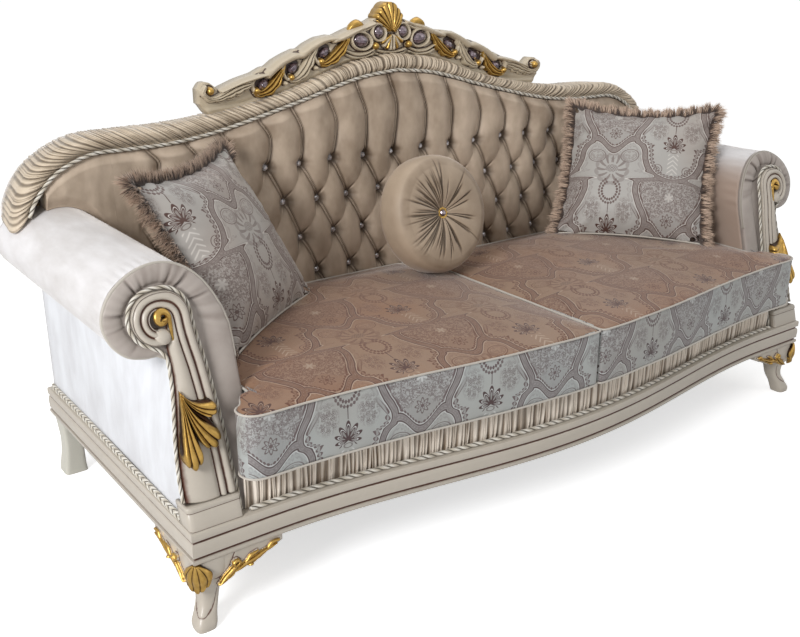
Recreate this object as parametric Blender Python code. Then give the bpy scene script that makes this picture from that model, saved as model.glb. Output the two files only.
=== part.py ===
"""Baroque sofa with carved crest, rolled arms, tufted back and loose cushions.

Metres, +Z up, the front faces -Y. The design frame has x = 0 at the centre
seam and z = 0 on the floor; every object is then moved by CENTRE_SHIFT so
that the sofa stands centred on the origin.
"""
import math

import bmesh
import bpy
import numpy as np
from mathutils import Vector

# Clearance between touching pieces
GAP = 0.0003

# Arms: clear width of the seat and thickness of each arm
ARM_INNER = 0.895
ARM_THICK = 0.170
ARM_OUTER = ARM_INNER + ARM_THICK
ARM_FLARE = 0.0045

# Base rails
RAIL_REVEAL = 0.015
RAIL_HALF = ARM_OUTER + RAIL_REVEAL
DEPTH_HALF = 0.460
RAIL_FRONT = -DEPTH_HALF
RAIL_BACK = DEPTH_HALF
LEG_HEIGHT = 0.173
RAIL_HEIGHT = 0.075
RAIL_LOW = LEG_HEIGHT
RAIL_TOP = RAIL_LOW + RAIL_HEIGHT
RAIL_DEPTH = 0.070
RAIL_BOW = 0.090
BOW_WIDTH = 2 * ARM_INNER
RAIL_STATIONS = 25
GROOVE_DEPTH = 0.006

# Front legs with their knee brackets, and back legs
LEG_TOP = RAIL_LOW - GAP
KNEE_SPAN = 0.215
KNEE_THICK = 0.030
KNEE_PROUD = 0.006
FRONT_LEG = ((0.0, 0.0, 0.046), (0.08, 0.0, 0.050), (0.20, 0.010, 0.045), (0.335, 0.020, 0.044),
             (0.49, 0.020, 0.050), (0.625, 0.012, 0.064), (0.765, 0.003, 0.084), (1.0, 0.003, 0.094))
BACK_LEG = ((0.0, 0.004, 0.064), (0.12, 0.006, 0.060), (0.32, 0.011, 0.054),
            (0.55, 0.013, 0.052), (0.78, 0.010, 0.060), (1.0, 0.006, 0.076))
KNEE_EDGE = ((0.0, 0.375), (0.11, 0.40), (0.27, 0.33), (0.43, 0.27), (0.59, 0.27),
             (0.70, 0.19), (0.86, 0.155), (1.0, 0.085))

# Seat
APRON_HEIGHT = 0.093
SEAT_THICK = 0.1546
SEAT_LOW = RAIL_TOP + APRON_HEIGHT
SEAT_TOP = SEAT_LOW + SEAT_THICK
SEAT_OVERHANG = 0.035
SEAT_FRONT = RAIL_FRONT - SEAT_OVERHANG
SEAT_BOW = 0.078
SEAT_CROWN = 0.016
SEAT_SIDE = ARM_INNER - 0.003
SEAM_HALF = 0.0015
WELT = 0.003
SEAT_CORNER = 0.030

# Seat support
DECK_THICK = 0.018
APRON_IN = 0.0215
APRON_THICK = 0.010
APRON_STATIONS = 61
SPRING_PITCH = 0.50
SPRING_COUNT = 3
SPRING_TURNS = 6
SPRING_SWING = 0.022
SPRING_WIRE = 0.002

# Arm section as shares of the arm's thickness outwards, and drops from its top
ARM_RISE = 0.2834
ARM_TOP = SEAT_TOP + ARM_RISE
ARM_ROLL = ((0.0, 0.179), (0.018, 0.139), (0.094, 0.098), (0.229, 0.055), (0.406, 0.023),
            (0.635, 0.003), (0.900, 0.0), (1.188, 0.016), (1.441, 0.048), (1.576, 0.092),
            (1.529, 0.134), (1.371, 0.165), (1.176, 0.176), (1.0, 0.177))
ROLL_STATIONS = 21
FACE_REVEAL = 0.010
LEAN_FRONT = RAIL_FRONT + FACE_REVEAL
LEAN = 0.284
PAD_FRONT = 0.020
PAD_BACK = 0.040
PAD_CROWN = 0.007
ARM_CORE_X = ARM_INNER + 0.53 * ARM_THICK
ARM_CORE_THICK = 0.024
ARM_CORE_TOP = ARM_TOP - 0.219
ARM_CORE_INSET = 0.160

# Carved scroll facing: shares of the height from the rail to the eye, and insets
EYE_X = ARM_OUTER - 0.07 * ARM_THICK
EYE_Z = ARM_TOP - 0.102
EYE_RADIUS = 0.0140
PLINTH_HEIGHT = 0.051
PLINTH_PROUD = 0.004
PLINTH_INNER = ARM_INNER + 0.36 * ARM_THICK
PLINTH_OUTER = ARM_OUTER + ARM_FLARE + 0.007
FACING_EDGE = ((-0.02, -ARM_FLARE), (0.215, -ARM_FLARE), (0.401, 0.002), (0.541, 0.012),
               (0.681, 0.020), (0.774, 0.022), (0.855, 0.020), (0.930, 0.026))
FACING_INNER = ((0.215, 0.376), (0.401, 0.394), (0.541, 0.418), (0.681, 0.450), (0.762, 0.471),
                (0.825, 0.494), (0.890, 0.518), (0.953, 0.535))
REED_ZONE = 0.039
VOLUTE_STEPS = 11
VOLUTE_R = 0.0515
WRAP_DEPTH = 0.050

# Gilt leaf of the facing
LEAF_STEM_DROP = 0.147
LEAF_REACH = 0.158

# The front corners of the seat stand before the facings
SEAT_EAR = PLINTH_INNER + 0.006
SEAT_EAR_BACK = LEAN_FRONT + LEAN * (SEAT_LOW - RAIL_TOP) - 0.008
APRON_HALF = PLINTH_INNER - 0.015

# Twisted cords
CORD_R = 0.006
CORD_SIDES = 6

# Pillows stand on the crown of the seat, each sunk to its own low point
PILLOW_REST = SEAT_TOP + SEAT_CROWN + GAP
PILLOW_EDGE = 0.002
PILLOW_FULL = 0.065
PILLOW_SIDE = 0.470
PILLOW_HIGH = 0.456
PILLOW_TILT = 31.5
LEFT_SINK = 0.0013
RIGHT_SINK = 0.0020
ROUND_SINK = 0.0078
ROUND_RADIUS = 0.163
ROUND_THICK = 0.120

# Back, from the carcass forwards
SHELL_THICK = 0.0077
SHELL_BACK = RAIL_BACK - 0.010
BORDER_BACK = SHELL_BACK - SHELL_THICK - GAP
ARM_BACK = BORDER_BACK
BOARD_THICK = 0.020
BOARD_BACK = BORDER_BACK - 0.045
BOARD_FRONT = BOARD_BACK - BOARD_THICK
TUFT_BACK = BOARD_FRONT - GAP
TUFT_THICK = 0.078
TUFT_FACE = TUFT_BACK - TUFT_THICK
TUFT_PUFF = 0.014
TUFT_SINK = 0.014
CORD_SUNK = 0.0045
BUTTON_PITCH = 0.109
BUTTON_STEP = 0.1093
BUTTON_LOW = SEAT_TOP - 0.0146
BUTTON_ROWS = tuple(BUTTON_LOW + k * BUTTON_STEP for k in range(4))
BUTTON_EDGE = 7.6
TUFT_ROWS = 11
BACK_LOW = RAIL_TOP + 0.008
SEAT_BACK = TUFT_FACE - TUFT_PUFF - 0.002
POST_WIDTH = 0.065

# Back outlines as shares of its half width, and of the height from arm to peak
BACK_RISE = 0.285
BACK_END = ARM_TOP - 0.013
BACK_PEAK = BACK_END + BACK_RISE
BACK_HALF = ARM_INNER + 1.265 * ARM_THICK
PATH_STATIONS = 23
INNER_PATH = ((0.0, 1.0), (0.132, 0.940), (0.310, 0.761), (0.517, 0.575), (0.651, 0.502),
              (0.756, 0.491), (0.849, 0.481), (0.929, 0.354), (0.981, 0.147), (1.0, 0.0))
OUTER_PATH = ((0.0, 1.123), (0.135, 1.053), (0.315, 0.846), (0.505, 0.702), (0.644, 0.649),
              (0.766, 0.642), (0.878, 0.604), (0.978, 0.386), (1.027, 0.074), (1.038, -0.126))

# Crest: shares of its half length, and rises above the padded back
CREST_HALF = 0.620
CREST_THICK = 0.038
CREST_BACK = RAIL_BACK - 0.075
CREST_FACE = CREST_BACK - CREST_THICK
CREST_ROOT = 0.004
CREST_SEAT = 0.0008
CREST_TOP = ((0.0, 0.146), (0.035, 0.144), (0.081, 0.123), (0.137, 0.110), (0.173, 0.119),
             (0.213, 0.103), (0.298, 0.106), (0.371, 0.104), (0.388, 0.098), (0.447, 0.104),
             (0.532, 0.096), (0.550, 0.089), (0.605, 0.091), (0.689, 0.079), (0.707, 0.073),
             (0.774, 0.070), (0.863, 0.052), (0.905, 0.072), (0.940, 0.089), (0.975, 0.089),
             (1.0, 0.076))
BAND_DROP = 0.0115
OVAL_TILT = 20.0
LEAF_GEMS = ((0.368, 0.066), (0.534, 0.061), (0.689, 0.045))
LEAF_BEADS = ((0.395, 0.049), (0.553, 0.040), (0.732, 0.036))
ROUND_GEM = (0.071, 0.081)
OVAL_GEM = (0.179, 0.062)
END_BEAD = (0.958, 0.068)
LEAF_CURVE = ((-0.094, 0.072), (-0.076, 0.043), (-0.056, 0.012), (-0.030, -0.008),
              (-0.007, -0.014), (0.008, -0.004), (0.001, 0.006))
LEAF_WIDTHS = (0.008, 0.024, 0.036, 0.034, 0.022, 0.014, 0.010)
END_CURVE = ((-0.119, 0.004), (-0.070, -0.010), (-0.034, -0.024), (-0.001, -0.022),
             (0.014, -0.004), (0.006, 0.013), (-0.006, 0.012))
END_WIDTHS = (0.010, 0.026, 0.030, 0.024, 0.018, 0.014, 0.010)
SHELL_DROP = 0.062
SHELL_REACH = 0.085
SHELL_FLUTES = 9

# Colours as red, green, blue, then roughness and metallic
CREAM = (0.74, 0.70, 0.60, 0.38, 0.0)
GOLD = (0.62, 0.42, 0.12, 0.32, 0.85)
VELVET = (0.62, 0.53, 0.45, 0.75, 0.0)
PALE_VELVET = (0.72, 0.65, 0.58, 0.75, 0.0)
DAMASK = (0.62, 0.60, 0.58, 0.55, 0.0)
CORD = (0.70, 0.66, 0.52, 0.60, 0.0)
GEM = (0.28, 0.22, 0.26, 0.08, 0.0)
BEECH = (0.62, 0.48, 0.32, 0.60, 0.0)
STEEL = (0.45, 0.45, 0.46, 0.35, 0.9)
LINING = (0.20, 0.19, 0.18, 0.90, 0.0)

# The front of the seat and the back of the rails bound the sofa in depth
SEAT_NOSE = SEAT_FRONT - SEAT_BOW - 0.7 * WELT
CENTRE_SHIFT = Vector((0.0, -(SEAT_NOSE + RAIL_BACK) / 2, 0.0))


def bow(x):
    """Serpentine of the front: 1 at the centre, 0 near the corners."""
    if abs(x) >= BOW_WIDTH / 2:
        return 0.0
    return math.cos(math.pi * x / BOW_WIDTH) ** 2


def rail_front(x):
    return RAIL_FRONT - RAIL_BOW * bow(x)


def seat_front(x):
    return SEAT_FRONT - SEAT_BOW * bow(x)


def lean(z):
    """Depth of the carved facing's front at a height."""
    return LEAN_FRONT + LEAN * (z - RAIL_TOP)


def smooth_path(points, count):
    """Catmull-Rom curve through the points, read at equal steps of length."""
    pts = [np.array(p, dtype=float) for p in points]
    pts = [2 * pts[0] - pts[1]] + pts + [2 * pts[-1] - pts[-2]]
    fine = []
    steps = 24
    for i in range(1, len(pts) - 2):
        a, b, c, d = pts[i - 1:i + 3]
        for k in range(steps):
            t = k / steps
            fine.append(0.5 * (2 * b + (c - a) * t + (2 * a - 5 * b + 4 * c - d) * t ** 2
                               + (3 * b - a - 3 * c + d) * t ** 3))
    fine.append(pts[-2])
    fine = np.array(fine)
    run = np.r_[0.0, np.cumsum(np.linalg.norm(np.diff(fine, axis=0), axis=1))]
    want = np.linspace(0.0, run[-1], count)
    return np.array([np.interp(want, run, fine[:, k]) for k in range(fine.shape[1])]).T


def material(name, finish):
    mat = bpy.data.materials.new(name)
    mat.use_nodes = True
    shader = mat.node_tree.nodes["Principled BSDF"]
    shader.inputs["Base Color"].default_value = (*finish[:3], 1.0)
    shader.inputs["Roughness"].default_value = finish[3]
    shader.inputs["Metallic"].default_value = finish[4]
    mat.diffuse_color = (*finish[:3], 1.0)
    return mat


def make(name, points, faces, finish, origin=(0.0, 0.0, 0.0), smooth=True):
    """One named object from points in the design frame."""
    origin = Vector(origin)
    mesh = bpy.data.meshes.new(name)
    mesh.from_pydata([Vector(p) - origin for p in points], [], faces)
    shape = bmesh.new()
    shape.from_mesh(mesh)
    bmesh.ops.recalc_face_normals(shape, faces=shape.faces)
    shape.to_mesh(mesh)
    shape.free()
    mesh.materials.append(material(name, finish))
    if smooth:
        mesh.shade_smooth()
        mesh.set_sharp_from_angle(angle=math.radians(40))
    obj = bpy.data.objects.new(name, mesh)
    obj.location = origin + CENTRE_SHIFT
    bpy.context.scene.collection.objects.link(obj)
    return obj


def loft(name, rings, finish, origin=(0.0, 0.0, 0.0), smooth=True):
    """Closed body through rings of equal count, with flat end caps."""
    count = len(rings[0])
    points = [p for ring in rings for p in ring]
    faces = []
    for r in range(len(rings) - 1):
        for k in range(count):
            a = r * count + k
            b = r * count + (k + 1) % count
            faces.append((a, b, b + count, a + count))
    last = (len(rings) - 1) * count
    faces.append(tuple(range(count - 1, -1, -1)))
    faces.append(tuple(range(last, last + count)))
    return make(name, points, faces, finish, origin, smooth)


def box(name, low, high, finish):
    x0, y0, z0 = low
    x1, y1, z1 = high
    rings = [[(x0, y0, z), (x1, y0, z), (x1, y1, z), (x0, y1, z)] for z in (z0, z1)]
    return loft(name, rings, finish, smooth=False)


def slab(name, outline, front, back, finish):
    """Outline in x and z, extruded along y."""
    rings = [[(x, y, z) for x, z in outline] for y in (front, back)]
    return loft(name, rings, finish, smooth=False)


def tube(name, path, radius, sides, finish):
    """Round bar along a path, its ring turned as little as possible."""
    path = [Vector(p) for p in path]
    rings = []
    side = None
    for i, point in enumerate(path):
        ahead = path[min(i + 1, len(path) - 1)]
        behind = path[max(i - 1, 0)]
        along = (ahead - behind).normalized()
        if side is None:
            side = along.orthogonal().normalized()
        side = (side - along * side.dot(along)).normalized()
        other = along.cross(side)
        ring = []
        for k in range(sides):
            turn = 2 * math.pi * k / sides
            ring.append(point + radius * (math.cos(turn) * side + math.sin(turn) * other))
        rings.append(ring)
    return loft(name, rings, finish)


def weld(obj):
    """Joins points that share a place."""
    shape = bmesh.new()
    shape.from_mesh(obj.data)
    bmesh.ops.remove_doubles(shape, verts=shape.verts, dist=1e-6)
    bmesh.ops.dissolve_degenerate(shape, dist=1e-7, edges=shape.edges)
    shape.to_mesh(obj.data)
    shape.free()


def triangulate(obj):
    shape = bmesh.new()
    shape.from_mesh(obj.data)
    bmesh.ops.triangulate(shape, faces=shape.faces)
    shape.to_mesh(obj.data)
    shape.free()


def clean(obj):
    """Level faces cut up by many Booleans are joined again, then triangulated."""
    bm = bmesh.new()
    bm.from_mesh(obj.data)
    bmesh.ops.dissolve_limit(bm, angle_limit=math.radians(0.3), verts=bm.verts, edges=bm.edges,
                             use_dissolve_boundaries=False)
    bmesh.ops.triangulate(bm, faces=bm.faces)
    bm.to_mesh(obj.data)
    bm.free()


def combine(target, tool, operation):
    """Boolean of two closed bodies, applied, with the tool taken away."""
    triangulate(target)
    mod = target.modifiers.new(operation.lower(), "BOOLEAN")
    mod.operation = operation
    mod.object = tool
    mod.solver = "EXACT"
    bpy.context.view_layer.update()
    graph = bpy.context.evaluated_depsgraph_get()
    result = bpy.data.meshes.new_from_object(target.evaluated_get(graph))
    old = target.data
    slot = old.materials[0]
    target.modifiers.clear()
    target.data = result
    result.name = target.name
    result.materials.clear()
    result.materials.append(slot)
    result.polygons.foreach_set("material_index", [0] * len(result.polygons))
    bpy.data.objects.remove(tool)


def rail_profile():
    """Depth and height round the moulded rail, from the inner top corner."""
    low, top = RAIL_LOW, RAIL_TOP
    return ((RAIL_DEPTH, top), (0.004, top), (0.0, top - 0.004), (0.0, top - 0.018),
            (GROOVE_DEPTH, top - 0.021), (0.003, top - 0.024), (0.0, top - 0.041),
            (0.003, top - 0.057), (GROOVE_DEPTH, top - 0.060), (0.0, top - 0.063),
            (0.0, low + 0.002), (0.003, low), (RAIL_DEPTH, low))


def front_rail():
    profile = rail_profile()
    stations = np.linspace(-1.0, 1.0, RAIL_STATIONS)
    rings = [[(-(RAIL_HALF - d), RAIL_FRONT + d, z) for d, z in profile]]
    for x in stations:
        rings.append([(x, rail_front(x) + d, z) for d, z in profile])
    rings.append([(RAIL_HALF - d, RAIL_FRONT + d, z) for d, z in profile])
    loft("front_rail", rings, CREAM)


def side_rail(name, side):
    mitre = 1.5 * GAP
    profile = rail_profile()
    front = [(side * (RAIL_HALF - d), RAIL_FRONT + d + mitre, z) for d, z in profile]
    back = [(side * (RAIL_HALF - d), RAIL_BACK, z) for d, z in profile]
    loft(name, [front, back], CREAM)


def base_frame():
    front_rail()
    side_rail("left_side_rail", -1)
    side_rail("right_side_rail", 1)
    inner = RAIL_HALF - RAIL_DEPTH
    back_face = RAIL_BACK - RAIL_DEPTH
    box("back_rail", (-inner + GAP, back_face, RAIL_LOW), (inner - GAP, RAIL_BACK, RAIL_TOP), BEECH)
    step = 2.0 / (RAIL_STATIONS - 1)
    stretcher_front = rail_front(step) + RAIL_DEPTH + GAP
    low, top = RAIL_LOW + 0.012, RAIL_TOP - 0.012
    box("centre_stretcher", (-0.032, stretcher_front, low), (0.032, back_face - GAP, top), BEECH)
    reach = 0.075
    for side, label in ((-1, "left"), (1, "right")):
        for corner, turn, place in ((RAIL_FRONT + RAIL_DEPTH, 1, "front"), (back_face, -1, "back")):
            x0 = side * (inner - GAP)
            y0 = corner + turn * GAP
            shape = [(x0, y0), (x0 - side * reach, y0), (x0, y0 + turn * reach)]
            rings = [[(x, y, z) for x, y in shape] for z in (low, top)]
            loft("corner_block_" + place + "_" + label, rings, BEECH, smooth=False)


def leg_ring(side, z, inset, width, depth_side):
    """Square with cut corners, its outer corner near the rail's corner."""
    half = width / 2
    flat = half - width * 0.16
    cx = side * (RAIL_HALF - inset - half)
    corner_y = RAIL_FRONT if depth_side < 0 else RAIL_BACK
    cy = corner_y - depth_side * (inset + half)
    square = ((half, flat), (flat, half), (-flat, half), (-half, flat),
              (-half, -flat), (-flat, -half), (flat, -half), (half, -flat))
    return [(cx + a, cy + b, z) for a, b in square]


def leg_rings(side, profile, depth_side):
    return [leg_ring(side, share * LEG_TOP, inset, width, depth_side)
            for share, inset, width in profile]


def knee_outline(start, reach, toward):
    """Carved lower edge of a knee bracket, as distance and height."""
    edge = [(start + toward * share * reach, LEG_TOP * (1 - drop)) for share, drop in KNEE_EDGE]
    return edge + [(start + toward * reach, LEG_TOP), (start, LEG_TOP)]


def front_leg(name, side):
    leg = loft(name, leg_rings(side, FRONT_LEG, -1), CREAM)
    inset = 0.040
    front_face = RAIL_FRONT + KNEE_PROUD
    outline = knee_outline(side * (RAIL_HALF - inset), KNEE_SPAN - inset, -side)
    combine(leg, slab("wing", outline, front_face, front_face + KNEE_THICK, CREAM), "UNION")
    outline = knee_outline(RAIL_FRONT + inset, KNEE_SPAN - 1.5 * inset, 1)
    outer = side * (RAIL_HALF - KNEE_PROUD)
    rings = [[(x, y, z) for y, z in outline] for x in (outer, outer - side * KNEE_THICK)]
    combine(leg, loft("wing", rings, CREAM, smooth=False), "UNION")


def back_leg(name, side):
    loft(name, leg_rings(side, BACK_LEG, 1), CREAM)


def spring(name, x):
    """Sinuous spring from the front rail to the back rail, arched upwards."""
    wire = SPRING_WIRE
    seat = RAIL_TOP + GAP + wire
    front = rail_front(x) + RAIL_DEPTH - 0.014
    back = RAIL_BACK - RAIL_DEPTH + 0.006
    rise = SEAT_LOW - GAP - DECK_THICK - GAP - wire - seat
    count = 4 * SPRING_TURNS + 1
    path = []
    for i in range(count):
        t = i / (count - 1)
        swing = SPRING_SWING * math.sin(2 * math.pi * SPRING_TURNS * t)
        y = front + (back - front) * t
        arch = min(1.0, max(0.0, min((y - front - 0.02) / 0.10, (TUFT_FACE - 0.03 - y) / 0.10)))
        path.append((x + swing, y, seat + rise * math.sin(arch * math.pi / 2)))
    tube(name, path, wire, 4, STEEL)


def seat_support():
    top = SEAT_LOW - GAP
    half = ARM_INNER - 2 * GAP
    stations = np.linspace(-half, half, 23)
    back = TUFT_FACE - 2 * GAP
    outline = [(x, rail_front(x) + APRON_IN + APRON_THICK + 0.0012) for x in stations]
    outline += [(half, back), (-half, back)]
    rings = [[(x, y, z) for x, y in outline] for z in (top - DECK_THICK, top)]
    loft("seat_deck", rings, BEECH, smooth=False)
    for i in range(SPRING_COUNT):
        spring("seat_spring_" + str(i + 1), (i - (SPRING_COUNT - 1) / 2) * SPRING_PITCH)
    under = RAIL_LOW - GAP
    reach = RAIL_HALF - KNEE_SPAN - 0.025
    margin = 0.020
    edge = [(x, rail_front(x) + 1.5 * margin) for x in np.linspace(-reach, reach, 15)]
    edge += [(reach, RAIL_BACK - margin), (-reach, RAIL_BACK - margin)]
    rings = [[(x, y, z) for x, y in edge] for z in (under - 0.0015, under)]
    loft("dust_cover", rings, LINING, smooth=False)


def apron():
    """Gathered band between the rail and the seat, in shallow folds."""
    low = RAIL_TOP + GAP
    top = SEAT_LOW - GAP
    heights = (low, low + 0.010, top - 0.010, top)
    rings = []
    for i in range(APRON_STATIONS):
        x = -APRON_HALF + 2 * APRON_HALF * i / (APRON_STATIONS - 1)
        front = rail_front(x) + APRON_IN
        fold = 0.003 if i % 2 else 0.0
        back = front + APRON_THICK
        bulge = (0.003, fold, fold, 0.004)
        ring = [(x, front + b, z) for b, z in zip(bulge, heights)]
        ring += [(x, back, top), (x, back, low)]
        rings.append(ring)
    loft("apron", rings, VELVET)
    run = np.linspace(-APRON_HALF + CORD_R, APRON_HALF - CORD_R, 31)
    centre = low + CORD_R
    path = [(x, rail_front(x) + APRON_IN - CORD_R - 0.0012, centre) for x in run]
    tube("apron_cord", path, CORD_R, CORD_SIDES, CORD)


def rounded_ring(outline, inset):
    """Plan outline moved inwards by an inset."""
    pts = np.array(outline)
    count = len(pts)
    moved = []
    for i in range(count):
        edge = pts[(i + 1) % count] - pts[i - 1]
        normal = np.array((edge[1], -edge[0])) / np.linalg.norm(edge)
        moved.append(pts[i] - normal * inset)
    return moved


def seat_outline(side):
    """T-shaped cushion, seen from above, anticlockwise."""
    inner = SEAM_HALF
    outer = SEAT_EAR - WELT
    nose = seat_front(outer)
    pts = [(inner, seat_front(inner))]
    for x in np.linspace(0.11 * outer, outer - SEAT_CORNER, 9):
        pts.append((x, seat_front(x)))
    pts.append((outer - 0.3 * SEAT_CORNER, nose + 0.3 * SEAT_CORNER))
    pts.append((outer, nose + SEAT_CORNER))
    pts.append((outer - 0.002, SEAT_EAR_BACK - 0.008))
    pts.append((outer - 0.010, SEAT_EAR_BACK))
    main = SEAT_SIDE - WELT
    pts.append((main, SEAT_EAR_BACK + 0.010))
    for y in np.linspace(SEAT_EAR_BACK + 0.15, SEAT_BACK - 0.02, 5):
        pts.append((main, y))
    pts.append((main - 0.02, SEAT_BACK))
    for x in np.linspace(main - 0.2, inner + 0.1, 4):
        pts.append((x, SEAT_BACK))
    pts.append((inner, SEAT_BACK))
    for y in np.linspace(SEAT_BACK - 0.15, seat_front(inner) + 0.15, 4):
        pts.append((inner, y))
    if side > 0:
        return pts
    return [(-x, y) for x, y in reversed(pts)]


def seat_cushion(name, side):
    low, top = SEAT_LOW, SEAT_TOP
    welted = ((0.004, low), (-WELT, low + 0.005), (0.0, low + 0.011), (-0.001, (low + top) / 2),
              (0.0, top - 0.011), (-WELT, top - 0.005), (0.003, top))
    outline = seat_outline(side)
    rings = []
    for inset, z in welted:
        flat = rounded_ring(outline, inset)
        rings.append([(side * max(side * x, SEAM_HALF / 2), y, z) for x, y in flat])
    middle = (SEAM_HALF + SEAT_SIDE) / 2
    centre = np.array((side * middle, (seat_front(middle) + SEAT_BACK) / 2))
    for scale, lift in ((0.90, 0.45), (0.62, 0.85), (0.28, 1.0)):
        ring = []
        for x, y in outline:
            point = centre + (np.array((x, y)) - centre) * scale
            ring.append((point[0], point[1], top + SEAT_CROWN * lift))
        rings.append(ring)
    origin = (side * SEAT_SIDE / 2, (SEAT_FRONT + SEAT_BACK) / 2, (low + top) / 2)
    loft(name, rings, DAMASK, origin)


def facing_height(share):
    return RAIL_TOP + share * (EYE_Z - RAIL_TOP)


def facing_edge(z):
    """Outer edge of the carved facing at a height."""
    heights = [facing_height(share) for share, inset in FACING_EDGE]
    return ARM_OUTER - float(np.interp(z, heights, [inset for share, inset in FACING_EDGE]))


def roll_path():
    return smooth_path([(ARM_INNER + t * ARM_THICK, ARM_TOP - drop) for t, drop in ARM_ROLL],
                       ROLL_STATIONS)


def arm_outline(side, front):
    """Section of the arm; at the front its outer side follows the facing."""
    roll = roll_path()
    low = RAIL_TOP + GAP
    base = roll[0][1]
    pts = [(ARM_INNER, low), (ARM_INNER, (low + base) / 2)]
    pts += [tuple(p) for p in roll[:-1]]
    for share in (0.99, 0.92, 0.82, 0.65, 0.48, 0.26, 0.0):
        z = low + share * (roll[-1][1] - low)
        pts.append((facing_edge(z) - 0.001 if front else ARM_OUTER, z))
    return [(side * x, z) for x, z in pts]


def arm(label, side):
    outline = arm_outline(side, True)
    behind = arm_outline(side, False)
    rings = [[(x, lean(z) + PAD_BACK, z) for x, z in outline]]
    rings += [[(x, y, z) for x, z in behind] for y in (0.0, ARM_BACK)]
    body = loft("arm_roll_" + label, rings, PALE_VELVET)
    core = ARM_CORE_THICK / 2
    low = RAIL_TOP + GAP
    cutter_x = sorted((side * (ARM_CORE_X - core - GAP), side * (ARM_CORE_X + core + GAP)))
    front = RAIL_FRONT + ARM_CORE_INSET
    back = RAIL_BACK - ARM_CORE_INSET
    cutter = box("slot", (cutter_x[0], front - GAP, low - 0.02),
                 (cutter_x[1], back + GAP, ARM_CORE_TOP + GAP), BEECH)
    combine(body, cutter, "DIFFERENCE")
    core_x = sorted((side * (ARM_CORE_X - core), side * (ARM_CORE_X + core)))
    box("arm_frame_" + label, (core_x[0], front, low), (core_x[1], back, ARM_CORE_TOP), BEECH)
    arm_pad(label, side, outline)


def arm_pad(label, side, outline):
    """Padded front with creases fanning out from the scroll's eye."""
    eye = np.array((side * EYE_X, EYE_Z))
    pts = np.array(outline)
    rings = [[(x, lean(z) + PAD_BACK - GAP, z) for x, z in pts]]
    rings.append([(x, lean(z) + PAD_FRONT + PAD_CROWN, z) for x, z in pts])
    for scale, raised in ((0.90, 0.8), (0.72, 1.0)):
        ring = []
        for i, point in enumerate(pts):
            x, z = eye + (point - eye) * scale
            crease = 0.35 if i % 3 == 0 and point[1] > ARM_TOP - 0.179 else 0.0
            height = PAD_CROWN * raised * (1 - crease)
            ring.append((x, lean(z) + PAD_FRONT + PAD_CROWN - height, z))
        rings.append(ring)
    loft("arm_pad_" + label, rings, PALE_VELVET)


def scroll_tracks():
    """Outer and inner edge of the carved band, from the plinth to the curl."""
    stations = []
    for i, (share, across) in enumerate(FACING_INNER):
        z = facing_height(share)
        # The far edge lags behind where the band turns into the volute
        far = facing_height(share - 0.008 * max(0, i - 3))
        stations.append(((ARM_INNER + across * ARM_THICK, z), (facing_edge(far), far)))
    for i in range(VOLUTE_STEPS + 1):
        turn = math.radians(10 + 257 * i / VOLUTE_STEPS)
        outer = VOLUTE_R + 0.015 * max(0.0, math.cos(turn)) + 0.0055 * max(0.0, -math.cos(turn))
        inner = EYE_RADIUS + 0.0035 + 0.004 * i / VOLUTE_STEPS
        direction = (-math.cos(turn), math.sin(turn))
        stations.append(((EYE_X + direction[0] * outer, EYE_Z + direction[1] * outer),
                         (EYE_X + direction[0] * inner, EYE_Z + direction[1] * inner)))
    return stations


def scroll_ring(side, outer, inner, reeds=True):
    """Section of the carved band: two reeds, two grooves and a plain field."""
    outer = np.array(outer)
    inner = np.array(inner)
    width = np.linalg.norm(inner - outer)
    zone = min(REED_ZONE, 0.94 * width)
    groove = GROOVE_DEPTH if reeds else 0.0
    shape = [(0.0, PAD_FRONT - GAP), (0.0, 0.005), (0.08 * zone, 0.001), (0.28 * zone, 0.0),
             (0.46 * zone, 0.001), (0.51 * zone, groove), (0.57 * zone, 0.001),
             (0.72 * zone, 0.0), (0.90 * zone, 0.001), (0.95 * zone, groove), (zone, 0.002)]
    rest = width - zone
    shape += [(zone + 0.45 * rest, 0.001), (zone + 0.75 * rest, 0.003),
              (zone + 0.93 * rest, 0.008), (width, 0.015), (width, PAD_FRONT - GAP)]
    ring = []
    for along, depth in shape:
        x, z = outer + (inner - outer) * along / width
        ring.append((side * x, lean(z) + depth, z))
    return ring


def arm_scroll(label, side):
    low = RAIL_TOP + GAP
    rings = []
    for z in (low, RAIL_TOP + PLINTH_HEIGHT):
        ring = scroll_ring(side, (PLINTH_INNER, z), (PLINTH_OUTER, z), False)
        ring = [(x, y - PLINTH_PROUD * (y < lean(h) + 0.012), h) for x, y, h in ring]
        wrap = side * (ARM_OUTER + ARM_FLARE + GAP)
        ring[-1:] = [(side * PLINTH_OUTER, lean(z) + WRAP_DEPTH, z), (wrap, lean(z) + WRAP_DEPTH, z),
                     (wrap, lean(z) + PAD_FRONT - GAP, z)]
        rings.append(ring)
    base = RAIL_TOP + PLINTH_HEIGHT + 0.002
    foot = scroll_ring(side, (PLINTH_INNER + 0.002, base), (facing_edge(base), base))
    rings.append(foot[:-1] + [foot[-1]] * 3)
    for outer, inner in scroll_tracks():
        ring = scroll_ring(side, outer, inner)
        rings.append(ring[:-1] + [ring[-1]] * 3)
    body = loft("arm_scroll_" + label, rings, CREAM)
    weld(body)
    rings = []
    for radius, depth in ((1.0, PAD_FRONT - GAP), (1.0, 0.010), (0.80, 0.002), (0.40, -0.003)):
        ring = []
        for k in range(12):
            turn = 2 * math.pi * k / 12
            x = EYE_X + EYE_RADIUS * radius * math.cos(turn)
            z = EYE_Z + EYE_RADIUS * radius * math.sin(turn)
            ring.append((side * x, lean(z) + depth, z))
        rings.append(ring)
    loft("scroll_boss_" + label, rings, GOLD)


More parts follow.
